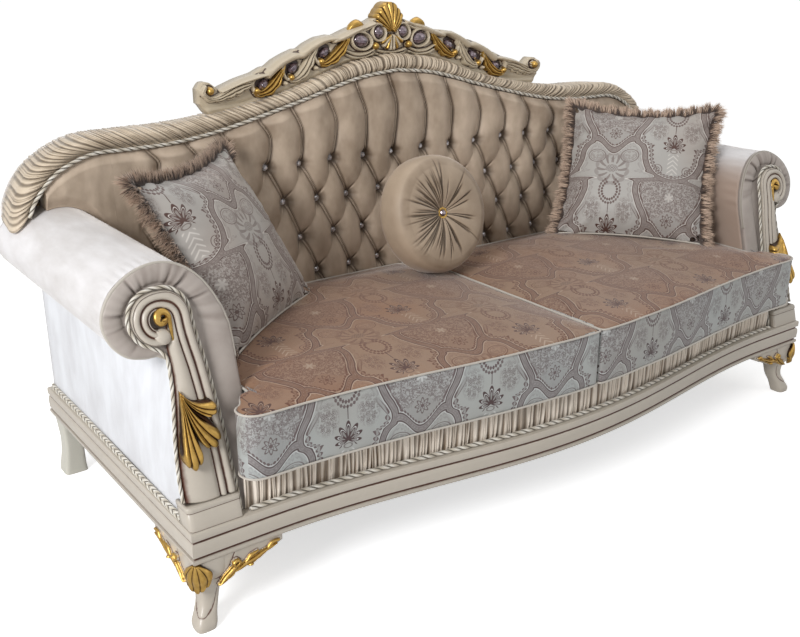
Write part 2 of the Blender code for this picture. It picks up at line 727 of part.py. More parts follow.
def acanthus(label, side):
    """Gilt leaf fanning down from its stem, its lobes curling forward."""
    stem = np.array((EYE_X - 0.013, EYE_Z - LEAF_STEM_DROP))
    lobes = 15
    steps = 5
    front, back = [], []
    for j in range(steps + 1):
        v = j / steps
        for i in range(lobes + 1):
            u = i / lobes
            turn = math.radians(-97 + 58 * u)
            lobe = abs(math.sin(3 * math.pi * u))
            reach = (LEAF_REACH - 0.045 * u - 0.040 * u * u) * (0.80 + 0.20 * lobe ** 0.6)
            x = stem[0] - math.cos(turn) * reach * v
            z = stem[1] + math.sin(turn) * reach * v
            flute = 0.5 + 0.5 * math.cos(2 * math.pi * u * lobes / 2)
            rise = 0.006 + 0.020 * v ** 2 + 0.004 * flute * math.sin(math.pi * min(1.0, v + 0.15))
            rise *= 0.5 + 0.5 * math.sin(math.pi * min(0.5, 4 * u, 4 * (1 - u)))
            front.append((side * x, lean(z) - GAP - rise - 0.001, z))
            back.append((side * x, lean(z) - GAP, z))
    width = lobes + 1
    total = len(front)
    # Only the top point of the fan is shared by all its rays
    front = [front[0]] + front[width:]
    back = [back[0]] + back[width:]
    total = len(front)
    faces = []
    for i in range(lobes):
        faces.append((0, 1 + i, 2 + i))
        faces.append((total, total + 2 + i, total + 1 + i))
    for j in range(steps - 1):
        for i in range(lobes):
            a = 1 + j * width + i
            faces.append((a, a + width, a + width + 1, a + 1))
            faces.append((total + a, total + a + 1, total + a + width + 1, total + a + width))
    rim = [0] + [1 + j * width for j in range(steps)]
    rim += [1 + (steps - 1) * width + i for i in range(1, width)]
    rim += [1 + j * width + lobes for j in range(steps - 2, -1, -1)]
    for k, a in enumerate(rim):
        b = rim[(k + 1) % len(rim)]
        faces.append((a, b, total + b, total + a))
    make("acanthus_leaf_" + label, front + back, faces, GOLD)


def arm_cord(label, side):
    """Cord from the plinth up the facing, round its volute and down again."""
    clear = CORD_R + 4 * GAP
    front = PAD_FRONT - CORD_R - 2 * GAP
    foot = RAIL_TOP + PLINTH_HEIGHT + clear
    turn_z = EYE_Z - 0.092
    path = [(facing_edge(z) + clear, z) for z in np.linspace(foot, turn_z, 7)]
    path += [(EYE_X - 0.0005, turn_z + 0.017), (EYE_X + 0.008, turn_z + 0.0275)]
    tracks = scroll_tracks()
    eye = np.array((EYE_X, EYE_Z))
    for outer, inner in reversed(tracks[-VOLUTE_STEPS - 1:]):
        ray = np.array(outer) - eye
        path.append(tuple(np.array(outer) + ray / np.linalg.norm(ray) * (clear + 0.0008)))
    path.pop(9)
    for outer, inner in reversed(tracks[:-VOLUTE_STEPS - 1]):
        path.append((outer[0] - clear - 0.0008, outer[1]))
    for z in np.linspace(foot + 0.018, RAIL_TOP + clear, 4):
        path.append((PLINTH_INNER - clear, z))
    path = [(side * x, lean(z) + front, z) for x, z in path]
    tube("arm_cord_" + label, path, CORD_R, CORD_SIDES, CORD)
    clear = CORD_R + GAP
    start = lean(RAIL_TOP) + WRAP_DEPTH + clear
    run = np.linspace(start, ARM_BACK - 0.005, 4)
    beside = [ARM_OUTER + flare + clear for flare in (ARM_FLARE, 0.7 * ARM_FLARE, 0.0, 0.0)]
    path = [(side * x, y, RAIL_TOP + clear) for x, y in zip(beside, run)]
    tube("side_cord_" + label, path, CORD_R, CORD_SIDES + 2, CORD)


def mirrored(half):
    """Full path from right to left, from a half path that starts at x = 0."""
    right = [tuple(p) for p in reversed(half)]
    return right + [(-x, z) for x, z in half[1:]]


def back_path(shares, count):
    """Right half of an outline of the back, from the peak to the arm."""
    points = [(a * BACK_HALF, BACK_END + b * BACK_RISE) for a, b in shares]
    return smooth_path(points, count)


def ruched_border():
    """Gathered roll between the cord and the outer edge of the back."""
    inner = mirrored(back_path(INNER_PATH, PATH_STATIONS))
    outer = mirrored(back_path(OUTER_PATH, PATH_STATIONS))
    front = TUFT_FACE + CORD_SUNK + CORD_R
    section = ((0.0, front + 0.001), (0.21, front - 0.0015), (0.50, front - 0.0095),
               (0.82, front - 0.0035), (1.0, front + 0.0225), (1.0, BORDER_BACK - 0.012),
               (0.92, BORDER_BACK), (0.0, BORDER_BACK))
    rings = []
    for (xi, zi), (xo, zo) in zip(inner, outer):
        rings.append([(xi + (xo - xi) * t, y, zi + (zo - zi) * t) for t, y in section])
    loft("ruched_border", rings, VELVET)
    path = [(x, TUFT_FACE + CORD_SUNK, z) for x, z in mirrored(back_path(INNER_PATH, 31))]
    tube("border_cord", path, CORD_R, CORD_SIDES, CORD)


def roll_top():
    """Vertices of the arm roll that the back's side edges follow."""
    roll = roll_path()
    clear = 4 * GAP
    pts = []
    for i, (x, z) in enumerate(roll):
        ahead = roll[min(i + 1, len(roll) - 1)] - roll[max(i - 1, 0)]
        normal = np.array((-ahead[1], ahead[0]))
        normal /= np.linalg.norm(normal)
        pts.append(np.array((x, z)) + normal * clear)
    top = int(np.argmax([p[0] > ARM_OUTER + 0.010 for p in pts]))
    return pts[1:top]


def puff(x, z):
    """Forward swell of the tufted face: diamonds, then channels above them."""
    a = x / BUTTON_PITCH
    rows = np.array(BUTTON_ROWS)
    b = np.interp(z, rows, (3.0, 2.0, 1.0, 0.0))
    edge = np.clip((BUTTON_EDGE - abs(a)) / 0.7, 0.0, 1.0)
    if z > rows[-1]:
        fold = abs(math.sin(math.pi * a)) ** 0.6
        knob = math.exp(-((z - rows[-1]) / 0.03) ** 2) * (1 - fold)
    else:
        if z < rows[0]:
            b = 3.0 + (rows[0] - z) / BUTTON_PITCH
        s, t = a + b / 2, a - b / 2
        fold = math.sqrt(abs(math.sin(math.pi * s) * math.sin(math.pi * t)))
        knob = max(0.0, 1 - math.hypot(math.sin(math.pi * s), math.sin(math.pi * t)) * 2)
    swell = TUFT_PUFF * (0.35 + 0.65 * fold) - TUFT_SINK * knob
    return edge * swell + (1 - edge) * TUFT_PUFF * 0.55


def back_columns():
    """Columns of the padded back, with their lowest and highest heights."""
    inner = back_path(INNER_PATH, 60)
    reach = CORD_R + GAP
    edge = ARM_INNER - 0.0025
    half = BUTTON_PITCH / 2
    columns = [(half * i, BACK_LOW) for i in range(int((edge - 0.01) / half))]
    columns += [(edge, BACK_LOW), (edge + 0.001, roll_path()[0][1])]
    columns += [(x, z) for x, z in roll_top()]
    full = []
    for x, low in columns:
        high = float(np.interp(x, inner[:, 0], inner[:, 1])) - reach
        if high - low > 0.010:
            full.append((x, low, high))
    return full


def tuft_levels(x, low, high):
    """Heights of one column's points: on the button rows inside the arms."""
    if x > ARM_INNER - 0.005:
        return [low + (high - low) * j / TUFT_ROWS for j in range(TUFT_ROWS + 1)]
    half = BUTTON_PITCH / 2
    base = BUTTON_ROWS[0]
    levels = [low, base - 2 * half]
    levels += [base + k * half * 1.003 for k in range(7)]
    rest = high - levels[-1]
    return levels + [levels[-1] + rest * t for t in (0.45, 0.80, 1.0)]


def tufted_back():
    half = back_columns()
    columns = [(-x, low, high) for x, low, high in reversed(half[1:])] + half
    width = TUFT_ROWS + 1
    front, back = [], []
    for i, (x, low, high) in enumerate(columns):
        end = i in (0, len(columns) - 1)
        for j, z in enumerate(tuft_levels(abs(x), low, high)):
            free = np.clip((z - SEAT_TOP) / 0.04, 0.0, 1.0) * np.clip((high - z) / 0.05, 0.15, 1.0)
            swell = 0.0 if end or j in (0, TUFT_ROWS) else puff(x, z) * free
            if abs(abs(x) - ARM_INNER) < 0.004:
                swell *= np.clip((z - ARM_TOP + 0.12) / 0.06, 0.0, 1.0)
            sunk = TUFT_SINK if end or j == TUFT_ROWS else 0.0
            front.append((x, TUFT_FACE + sunk - swell, z))
            back.append((x, TUFT_BACK, z))
    total = len(front)
    rows = TUFT_ROWS
    last = len(columns) - 1
    faces = []
    for i in range(last):
        for j in range(rows):
            a = i * width + j
            faces.append((a, a + width, a + width + 1, a + 1))
    rim = [i * width for i in range(last + 1)] + [last * width + j for j in range(1, width)]
    rim += [i * width + rows for i in range(last - 1, -1, -1)] + [j for j in range(rows - 1, 0, -1)]
    slot = {a: total + k for k, a in enumerate(rim)}
    points = front + [back[a] for a in rim]
    for k, a in enumerate(rim):
        b = rim[(k + 1) % len(rim)]
        faces.append((a, b, slot[b], slot[a]))
    faces.append(tuple(slot[a] for a in rim))
    make("tufted_back", points, faces, VELVET)


def back_structure():
    half = back_columns()
    inset = 0.002
    right_low = [(x, low) for x, low, high in half]
    right_top = [(x, high - inset) for x, low, high in reversed(half)]
    right = [p for p in right_low if p[0] > 0.0] + [p for p in right_top if p[0] > 0.0]
    left = [(-x, z) for x, z in reversed(right)]
    low = RAIL_TOP + GAP
    slab("back_board", right + left, BOARD_FRONT, BOARD_BACK, BEECH)
    for label, side in (("left", -1), ("right", 1)):
        outer_x = ARM_INNER - POST_WIDTH / 2
        xs = sorted((side * outer_x, side * (outer_x - POST_WIDTH)))
        box("back_post_" + label, (xs[0], BOARD_BACK + GAP, low),
            (xs[1], ARM_BACK, BACK_END + 0.33 * BACK_RISE), BEECH)
    roll = [tuple(p) for p in roll_path()]
    outer = [tuple(p) for p in back_path(OUTER_PATH, PATH_STATIONS)]
    lower = [(ARM_OUTER - 0.002, low), (ARM_OUTER - 0.002, roll[-1][1])]
    lower += [p for p in reversed(roll[:-1]) if p[1] < outer[-1][1] - 0.004 and p[0] > ARM_OUTER]
    right = lower + list(reversed(outer))
    left = [(-x, z) for x, z in reversed(right[:-1])]
    slab("outside_back", right + left, BORDER_BACK + GAP, SHELL_BACK, PALE_VELVET)


def ridge(path, widths, height, lobes=1, closed=False):
    """Carved stroke on the crest's face: rounded or fluted across its width."""
    count = len(path)
    points = 2 * lobes + 3 if lobes else 4
    rings = []
    for i, (x, z) in enumerate(path):
        ahead = path[(i + 1) % count] if closed else path[min(i + 1, count - 1)]
        behind = path[i - 1] if closed else path[max(i - 1, 0)]
        along = np.array(ahead) - np.array(behind)
        across = np.array((-along[1], along[0])) / np.linalg.norm(along)
        half = widths[i] / 2
        rise = height * min(1.0, widths[i] / max(widths) + 0.35)
        ring = []
        for k in range(points):
            u = -1 + 2 * k / (points - 1)
            crown = math.sqrt(max(0.0, 1 - u * u))
            flute = 0.45 if k % 2 == 0 and lobes > 1 else 0.0
            lift = rise * crown * (1 - flute)
            px, pz = np.array((x, z)) + across * half * u
            ring.append((px, CREST_FACE + 0.003 - lift - 0.001, pz))
        ring[0] = (ring[0][0], CREST_FACE + CREST_ROOT, ring[0][2])
        ring[-1] = (ring[-1][0], CREST_FACE + CREST_ROOT, ring[-1][2])
        rings.append(ring)
    if not closed:
        return loft("stroke", rings, CREAM)
    corners = [p for ring in rings for p in ring]
    faces = []
    for i in range(count):
        for k in range(points):
            a, b = i * points + k, i * points + (k + 1) % points
            c = (i + 1) % count * points
            faces.append((a, b, c + (k + 1) % points, c + k))
    return make("stroke", corners, faces, CREAM)


def on_back(share, rise):
    """Place on the crest: share of its half length, rise above the padded back."""
    x = share * CREST_HALF
    outer = back_path(OUTER_PATH, PATH_STATIONS)
    return x, float(np.interp(x, outer[:, 0], outer[:, 1])) + rise


def crest_top(x):
    top = [on_back(*p) for p in CREST_TOP]
    return float(np.interp(x, [p[0] for p in top], [p[1] for p in top]))


def crest_strokes():
    """Leaves, bands and rims of the right half: path, widths, height, lobes, closed."""
    strokes = []
    for bead in LEAF_BEADS:
        bx, bz = on_back(*bead)
        leaf = smooth_path([(bx + dx, bz + dz) for dx, dz in LEAF_CURVE], len(LEAF_WIDTHS))
        strokes.append((leaf, LEAF_WIDTHS, 0.020, 2, False))
        band = [(x, crest_top(x) - BAND_DROP) for x in np.linspace(bx - 0.050, bx + 0.066, 5)]
        strokes.append((band, (0.018, 0.026, 0.025, 0.020, 0.014), 0.024, 1, False))
    low, high = 0.107 * CREST_HALF, 0.306 * CREST_HALF
    first = [(x, crest_top(x) - BAND_DROP) for x in np.linspace(low, high, 5)]
    strokes.append((first, (0.014, 0.022, 0.022, 0.022, 0.014), 0.022, 1, False))
    ex, ez = on_back(*END_BEAD)
    end = smooth_path([(ex + dx, ez + dz) for dx, dz in END_CURVE], len(END_WIDTHS))
    strokes.append((end, END_WIDTHS, 0.020, 2, False))
    oval = ring_path(on_back(*OVAL_GEM), (0.031, 0.020), OVAL_TILT, 12)
    strokes.append((oval, [0.011] * 12, 0.018, 0, True))
    rim = ring_path(on_back(*ROUND_GEM), (0.0185, 0.0185), 0.0, 10)
    strokes.append((rim, [0.010] * 10, 0.018, 0, True))
    ox, oz = on_back(*OVAL_GEM)
    below = [(ox + 0.053 * t, oz - 0.040 + 0.016 * t * t) for t in np.linspace(-1.0, 1.0, 5)]
    strokes.append((below, (0.008, 0.015, 0.018, 0.015, 0.008), 0.014, 2, False))
    return strokes


def ring_path(centre, radii, tilt, count):
    """Points of an ellipse round a stone."""
    return [(x, z) for x, y, z in oval_ring(centre, radii, math.radians(tilt), 1.0, 0.0, count)]


def bead(centre, radius, height):
    """Round boss on the crest's face."""
    levels = ((1.0, -CREST_ROOT), (1.0, 0.7 * height), (0.55, height))
    rings = [oval_ring(centre, (radius, radius), 0.0, s, CREST_FACE - y, 8) for s, y in levels]
    return loft("bead", rings, CREAM)


def crest():
    outer = [tuple(p) for p in back_path(OUTER_PATH, PATH_STATIONS)]
    low = [(x, z + CREST_SEAT) for x, z in outer if x < CREST_HALF - 0.01]
    low.append(on_back(1.0, CREST_SEAT))
    top = [on_back(*p) for p in reversed(CREST_TOP)]
    half = low[1:] + top[:-1]
    outline = half + [top[-1]] + [(-x, z) for x, z in reversed(half)] + [low[0]]
    rail = slab("crest_rail", outline, CREST_FACE, CREST_BACK, CREAM)
    for path, widths, height, lobes, closed in crest_strokes():
        for side in (-1, 1):
            mirror = [(side * x, z) for x, z in path]
            combine(rail, ridge(mirror, widths, height, lobes, closed), "UNION")
    for place, radius in [(p, 0.0095) for p in LEAF_BEADS] + [(END_BEAD, 0.012)]:
        x, z = on_back(*place)
        for side in (-1, 1):
            combine(rail, bead((side * x, z), radius, 0.023), "UNION")
    peak = on_back(*CREST_TOP[0])[1]
    fan = [(0.0, peak - SHELL_DROP - 0.016 - step) for step in (0.0, 0.010, 0.028)]
    combine(rail, ridge(fan, (0.016, 0.024, 0.044), 0.016, 3), "UNION")
    crest_gems(rail)
    crest_shell(rail, peak - SHELL_DROP)
    clean(rail)


def oval_ring(centre, radii, tilt, scale, y, sides):
    ring = []
    for k in range(sides):
        turn = 2 * math.pi * k / sides
        a = radii[0] * scale * math.cos(turn)
        b = radii[1] * scale * math.sin(turn)
        ring.append((centre[0] + a * math.cos(tilt) - b * math.sin(tilt), y,
                     centre[1] + a * math.sin(tilt) + b * math.cos(tilt)))
    return ring


def crest_gems(rail):
    """Glass stones, each in a flat-bottomed socket of the crest."""
    stones = [("round", ROUND_GEM, (0.0125, 0.0125), 0.0)]
    stones.append(("oval", OVAL_GEM, (0.0240, 0.0135), OVAL_TILT))
    for i, centre in enumerate(LEAF_GEMS):
        stones.append(("drop_" + str(i + 1), centre, (0.0140, 0.0100), -50.0))
    floor = CREST_FACE + 0.002
    for kind, centre, radii, tilt in stones:
        sides = 10
        for label, side in (("left", -1), ("right", 1)):
            place = (side * on_back(*centre)[0], on_back(*centre)[1])
            angle = math.radians(side * tilt)
            rings = [oval_ring(place, [r + GAP for r in radii], angle, 1.0, y, sides)
                     for y in (CREST_FACE - 0.05, floor)]
            combine(rail, loft("socket", rings, CREAM), "DIFFERENCE")
            levels = ((1.0, floor - GAP), (1.0, floor - 0.008), (0.72, floor - 0.015), (0.30, floor - 0.017))
            rings = [oval_ring(place, radii, angle, s, y, sides) for s, y in levels]
            loft("crest_gem_" + kind + "_" + label, rings, GEM, smooth=False)


def crest_shell(rail, hub_z):
    """Fluted gilt shell in a shallow seat at the centre of the crest."""
    hub = (0.0, hub_z - 0.012)
    count = 2 * SHELL_FLUTES
    spread = math.radians(62)
    seat = CREST_FACE + 0.001
    outline = []
    for k in range(count + 1):
        turn = -spread + 2 * spread * k / count
        reach = SHELL_REACH * (1.0 - 0.34 * (abs(turn) / spread) ** 1.6)
        scallop = 1.0 if k % 2 else 0.955
        outline.append((turn, reach * scallop, k % 2))
    wide = 1.2 * SHELL_REACH
    cut = [(0.0, hub_z - 0.020)]
    cut += [(wide * math.sin(t), hub[1] + wide * math.cos(t)) for t, r, o in outline]
    combine(rail, slab("seat", cut, CREST_FACE - 0.06, seat, CREAM), "DIFFERENCE")
    steps = 4
    front, back = [], []
    start = 0.012
    for j in range(steps + 1):
        v = j / steps
        for turn, reach, odd in outline:
            r = start + (reach - start) * v
            x = r * math.sin(turn) * 0.96
            z = hub[1] + r * math.cos(turn)
            rise = 0.004 + (0.005 if odd else 0.0) * (0.3 + 0.7 * v) + 0.010 * math.sin(math.pi * (0.35 + 0.5 * v))
            front.append((x, seat - GAP - rise, z))
            back.append((x, seat - GAP, z))
    width = len(outline)
    total = len(front)
    faces = []
    for j in range(steps):
        for i in range(width - 1):
            a = j * width + i
            faces.append((a, a + width, a + width + 1, a + 1))
            faces.append((total + a, total + a + 1, total + a + width + 1, total + a + width))
    rim = list(range(width)) + [j * width + width - 1 for j in range(1, steps + 1)]
    rim += [steps * width + i for i in range(width - 2, -1, -1)]
    rim += [j * width for j in range(steps - 1, 0, -1)]
    for k, a in enumerate(rim):
        b = rim[(k + 1) % len(rim)]
        faces.append((a, b, total + b, total + a))
    make("crest_shell", front + back, faces, GOLD)


def square_pillow(name, corner, heading, sink):
    """Leaning pillow: drawn-in sides, pointed corners and a full middle."""
    width, height = PILLOW_SIDE, PILLOW_HIGH
    heading = math.radians(heading)
    tilt = math.radians(PILLOW_TILT)
    along = Vector((math.cos(heading), math.sin(heading), 0.0))
    away = Vector((-math.sin(heading), math.cos(heading), 0.0))
    up = away * math.sin(tilt) + Vector((0.0, 0.0, math.cos(tilt)))
    out = along.cross(up).normalized()
    base = Vector((corner[0], corner[1], 0.0))
    count = 10
    grid = np.linspace(-1.0, 1.0, count + 1)
    layers = []
    for face in (1, -1):
        layer = []
        for b in grid:
            for a in grid:
                pinch_a = 1 - 0.05 * (1 - b * b)
                pinch_b = 1 - 0.05 * (1 - a * a)
                full = ((1 - a * a) * (1 - b * b)) ** 0.42
                point = along * (width / 2 * (1 + a * pinch_a)) + up * (height / 2 * (1 + b * pinch_b))
                layer.append(base + point + out * face * (PILLOW_EDGE + PILLOW_FULL * full))
        layers.append(layer)
    lowest = min(p.z for layer in layers for p in layer)
    lift = Vector((0.0, 0.0, PILLOW_REST - sink - lowest))
    points = [p + lift for layer in layers for p in layer]
    side = count + 1
    total = side * side
    faces = []
    for j in range(count):
        for i in range(count):
            a = j * side + i
            faces.append((a, a + 1, a + side + 1, a + side))
            faces.append((total + a, total + a + side, total + a + side + 1, total + a + 1))
    rim = list(range(side)) + [j * side + count for j in range(1, side)]
    rim += [count * side + i for i in range(count - 1, -1, -1)]
    rim += [j * side for j in range(count - 1, 0, -1)]
    for k, a in enumerate(rim):
        b = rim[(k + 1) % len(rim)]
        faces.append((a, b, total + b, total + a))
    centre = sum(points, Vector()) / len(points)
    make(name, points, faces, DAMASK, centre)


def round_pillow():
    """Flat drum with its gathers drawn to a central jewel."""
    radius = ROUND_RADIUS
    thick = ROUND_THICK
    heading, tilt = math.radians(3.6), math.radians(15)
    facing = Vector((math.sin(heading) * math.cos(tilt), -math.cos(heading) * math.cos(tilt), math.sin(tilt)))
    across = Vector((0.0, 0.0, 1.0)).cross(facing).normalized()
    upward = facing.cross(across)
    profile = ((0.06, 0.36), (0.35, 0.47), (0.70, 0.50), (0.92, 0.40), (1.0, 0.20),
               (1.0, -0.20), (0.92, -0.40), (0.70, -0.50), (0.35, -0.47), (0.06, -0.36))
    rings = []
    segments = 24
    for scale, depth in profile:
        ring = []
        for k in range(segments):
            turn = 2 * math.pi * k / segments
            gather = 0.006 * (k % 2) * math.sin(math.pi * min(1.0, scale + 0.1)) * (1 if depth > 0 else -1)
            offset = facing * (depth * thick + gather)
            ring.append(offset + radius * scale * (math.cos(turn) * across + math.sin(turn) * upward))
        rings.append(ring)
    lowest = min(p.z for ring in rings for p in ring)
    centre = Vector((-0.061, SEAT_BACK - 0.243, PILLOW_REST - ROUND_SINK - lowest))
    rings = [[centre + p for p in ring] for ring in rings]
    loft("round_pillow", rings, VELVET, centre)


def build():
    for obj in list(bpy.data.objects):
        bpy.data.objects.remove(obj)
    base_frame()
    front_leg("front_leg_left", -1)
    front_leg("front_leg_right", 1)
    back_leg("back_leg_left", -1)
    back_leg("back_leg_right", 1)
    seat_support()
    apron()
    seat_cushion("seat_cushion_left", -1)
    seat_cushion("seat_cushion_right", 1)
    for label, side in (("left", -1), ("right", 1)):
        arm(label, side)
        arm_scroll(label, side)
        acanthus(label, side)
        arm_cord(label, side)
    tufted_back()
    ruched_border()
    back_structure()
    crest()
    place = (SEAT_BACK - 0.506, SEAT_BACK - 0.174)
    square_pillow("pillow_left", (0.058 - ARM_INNER, place[0]), 37.1, LEFT_SINK)
    square_pillow("pillow_right", (ARM_INNER - 0.387, place[1]), -53.2, RIGHT_SINK)
    round_pillow()


build()
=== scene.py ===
"""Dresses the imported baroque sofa: upholstery, carving, cords, stones and finishes.

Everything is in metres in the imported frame. Heights and depths of the fitted
pieces repeat the sizes of the solids that they stand for.
"""

import math

import bmesh
import bpy
import numpy as np
from mathutils import Matrix, Vector, noise


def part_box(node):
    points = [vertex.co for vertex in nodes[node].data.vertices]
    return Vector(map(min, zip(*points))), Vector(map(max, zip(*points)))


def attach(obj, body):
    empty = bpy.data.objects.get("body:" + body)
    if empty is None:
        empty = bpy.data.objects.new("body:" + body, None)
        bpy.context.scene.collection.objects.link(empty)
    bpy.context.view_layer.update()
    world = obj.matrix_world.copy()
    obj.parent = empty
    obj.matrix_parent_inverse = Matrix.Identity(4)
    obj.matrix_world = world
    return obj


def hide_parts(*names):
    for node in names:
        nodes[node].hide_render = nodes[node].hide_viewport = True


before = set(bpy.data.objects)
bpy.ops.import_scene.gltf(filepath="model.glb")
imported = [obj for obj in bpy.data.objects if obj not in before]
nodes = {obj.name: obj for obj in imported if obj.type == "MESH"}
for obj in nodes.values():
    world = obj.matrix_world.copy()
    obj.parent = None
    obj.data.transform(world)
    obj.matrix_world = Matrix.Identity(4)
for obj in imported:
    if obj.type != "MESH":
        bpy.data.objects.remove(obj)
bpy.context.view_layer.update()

# Depth from the drawing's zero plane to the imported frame's
DY = 0.05755

# Sizes shared with the solids
ARM_INNER = 0.895
ARM_THICK = 0.170
ARM_OUTER = 1.065
RAIL_TOP = 0.248
SEAT_LOW = 0.341
SEAT_TOP = 0.4956
ARM_TOP = 0.779
EYE_X = 1.0531
EYE_Z = 0.677
PLINTH_TOP = 0.299
PLINTH_INNER = 0.9562
LEAN_FRONT = -0.450
LEAN = 0.284
ARM_BACK = 0.442
TUFT_FACE = 0.2987
TUFT_BACK = 0.3767
SEAT_BACK = 0.2827
PITCH = 0.109
STEP = 0.1093
BUTTON_LOW = 0.481
BACK_END = 0.766
BACK_RISE = 0.285
BACK_HALF = 1.110
CORD_R = 0.006
ARM_ROLL = ((0.0, 0.179), (0.018, 0.139), (0.094, 0.098), (0.229, 0.055), (0.406, 0.023),
            (0.635, 0.003), (0.900, 0.0), (1.188, 0.016), (1.441, 0.048), (1.576, 0.092),
            (1.529, 0.134), (1.371, 0.165), (1.176, 0.176), (1.0, 0.177))
INNER_PATH = ((0.0, 1.0), (0.132, 0.940), (0.310, 0.761), (0.517, 0.575), (0.651, 0.502),
              (0.756, 0.491), (0.849, 0.481), (0.929, 0.354), (0.981, 0.147), (1.0, 0.0))
OUTER_PATH = ((0.0, 1.123), (0.135, 1.053), (0.315, 0.846), (0.505, 0.702), (0.644, 0.649),
              (0.766, 0.642), (0.878, 0.604), (0.978, 0.386), (1.027, 0.074), (1.038, -0.126))

SIDES = (("left", -1), ("right", 1))

# Repeat of the woven pattern, across and up
PX = 0.374
PY = 0.555


# Curves and fields

def curve(points, count):
    """Catmull-Rom curve through the points, read at equal steps of length."""
    pts = [np.array(p, dtype=float) for p in points]
    pts = [2 * pts[0] - pts[1]] + pts + [2 * pts[-1] - pts[-2]]
    fine = []
    steps = 24
    for i in range(1, len(pts) - 2):
        a, b, c, d = pts[i - 1:i + 3]
        for k in range(steps):
            t = k / steps
            fine.append(0.5 * (2 * b + (c - a) * t + (2 * a - 5 * b + 4 * c - d) * t ** 2
                               + (3 * b - a - 3 * c + d) * t ** 3))
    fine.append(pts[-2])
    return resample(np.array(fine), count)


def resample(path, count):
    path = np.asarray(path, dtype=float)
    run = run_length(path)
    want = np.linspace(0.0, run[-1], count)
    return np.array([np.interp(want, run, values) for values in path.T]).T


def unit(rows):
    """Directions of unit length, one per row."""
    return rows / np.linalg.norm(rows, axis=1)[:, None]


def circle(count):
    """Angles all round, in equal steps."""
    return np.linspace(0.0, 2 * np.pi, count, endpoint=False)


def ring_round(centre, reach, turns, side, up):
    """Points round a centre, in the plane of two directions."""
    turns = turns[:, None]
    return centre + reach * (np.cos(turns) * side + np.sin(turns) * up)


def ridge(x, at, wide):
    """Rounded ridge of height one along a line."""
    return np.exp(-((x - at) / wide) ** 2)


def run_length(path):
    return np.r_[0.0, np.cumsum(np.linalg.norm(np.diff(path, axis=0), axis=1))]


def lean(z):
    """Depth of the arms' fronts, which lean back as they rise."""
    return LEAN_FRONT + LEAN * (z - RAIL_TOP)


def bow(x):
    x = np.abs(np.asarray(x, dtype=float))
    return np.where(x < ARM_INNER, np.cos(np.pi * x / (2 * ARM_INNER)) ** 2, 0.0)


def rail_front(x):
    return -0.460 - 0.090 * bow(x)


def seat_front(x):
    return -0.495 - 0.078 * bow(x)


def back_path(shares, count):
    return curve([(a * BACK_HALF, BACK_END + b * BACK_RISE) for a, b in shares], count)


def mirrored(half):
    """Both halves of a line, from left to right."""
    return np.r_[half[::-1], half[1:] * (-1, 1)][::-1]


def smoothstep(x, low, high):
    t = np.clip((np.asarray(x, dtype=float) - low) / (high - low), 0.0, 1.0)
    return t * t * (3 - 2 * t)


def wobble(points, scale, seed):
    """Smooth noise between -1 and 1 at many points."""
    shift = Vector((seed * 13.1, seed * 7.7, seed * 3.3))
    return np.array([noise.noise(Vector(p) * scale + shift) for p in points])


def wobble_grid(X, Z, scale, seed):
    """The same noise over a grid of places, across and up."""
    return wobble(np.c_[X.ravel(), np.zeros(X.size), Z.ravel()], scale, seed).reshape(X.shape)


def wobble_line(values, scale, seed):
    return np.array([noise.noise(Vector((v * scale, seed * 5.3, seed * 2.1))) for v in values])


def gathers(run, drifts, spacing, seed):
    """Uneven gathers along a run, one row per drift: height from 0 to about 1."""
    rng = np.random.default_rng(seed)
    places = [run[0]]
    while places[-1] < run[-1] + spacing:
        places.append(places[-1] + spacing * rng.choice((0.45, 0.6, 0.8, 1.1, 1.7)) * rng.uniform(0.8, 1.2))
    places = np.array(places)
    gap = np.gradient(places)
    wide = gap * rng.uniform(0.28, 0.50, len(places))
    tall = rng.uniform(0.45, 1.05, len(places))
    slant = rng.uniform(-1.0, 1.0, len(places)) * spacing * 0.55
    rows = []
    for drift in drifts:
        away = (run[:, None] - places - slant * drift) / wide
        rows.append((tall * np.exp(-away ** 2)).max(axis=1))
    return np.array(rows)


# Meshes

def add_object(name, mesh):
    obj = bpy.data.objects.new(name, mesh)
    bpy.context.scene.collection.objects.link(obj)
    return obj


def make(name, points, faces, smooth=True, out=True):
    points = np.asarray(points, dtype=float) + (0.0, DY, 0.0)
    mesh = bpy.data.meshes.new(name)
    mesh.from_pydata(points.tolist(), [], faces)
    if out:
        bm = bmesh.new()
        bm.from_mesh(mesh)
        bmesh.ops.recalc_face_normals(bm, faces=bm.faces)
        bm.to_mesh(mesh)
        bm.free()
    if smooth:
        mesh.shade_smooth()
    return add_object(name, mesh)


def sheet_faces(rows, cols, wrap=False, start=0):
    """Quads of a grid of rows by cols points."""
    faces = []
    for r in range(rows - 1):
        for c in range(cols if wrap else cols - 1):
            a = start + r * cols + c
            b = start + r * cols + (c + 1) % cols
            faces.append((a, b, b + cols, a + cols))
    return faces


def loft(name, rings, smooth=True):
    """Closed body through rings of equal count."""
    rings = np.asarray(rings, dtype=float)
    rows, cols = rings.shape[:2]
    last = (rows - 1) * cols
    faces = sheet_faces(rows, cols, True)
    faces += [tuple(range(cols - 1, -1, -1)), tuple(range(last, last + cols))]
    return make(name, rings.reshape(-1, 3), faces, smooth)


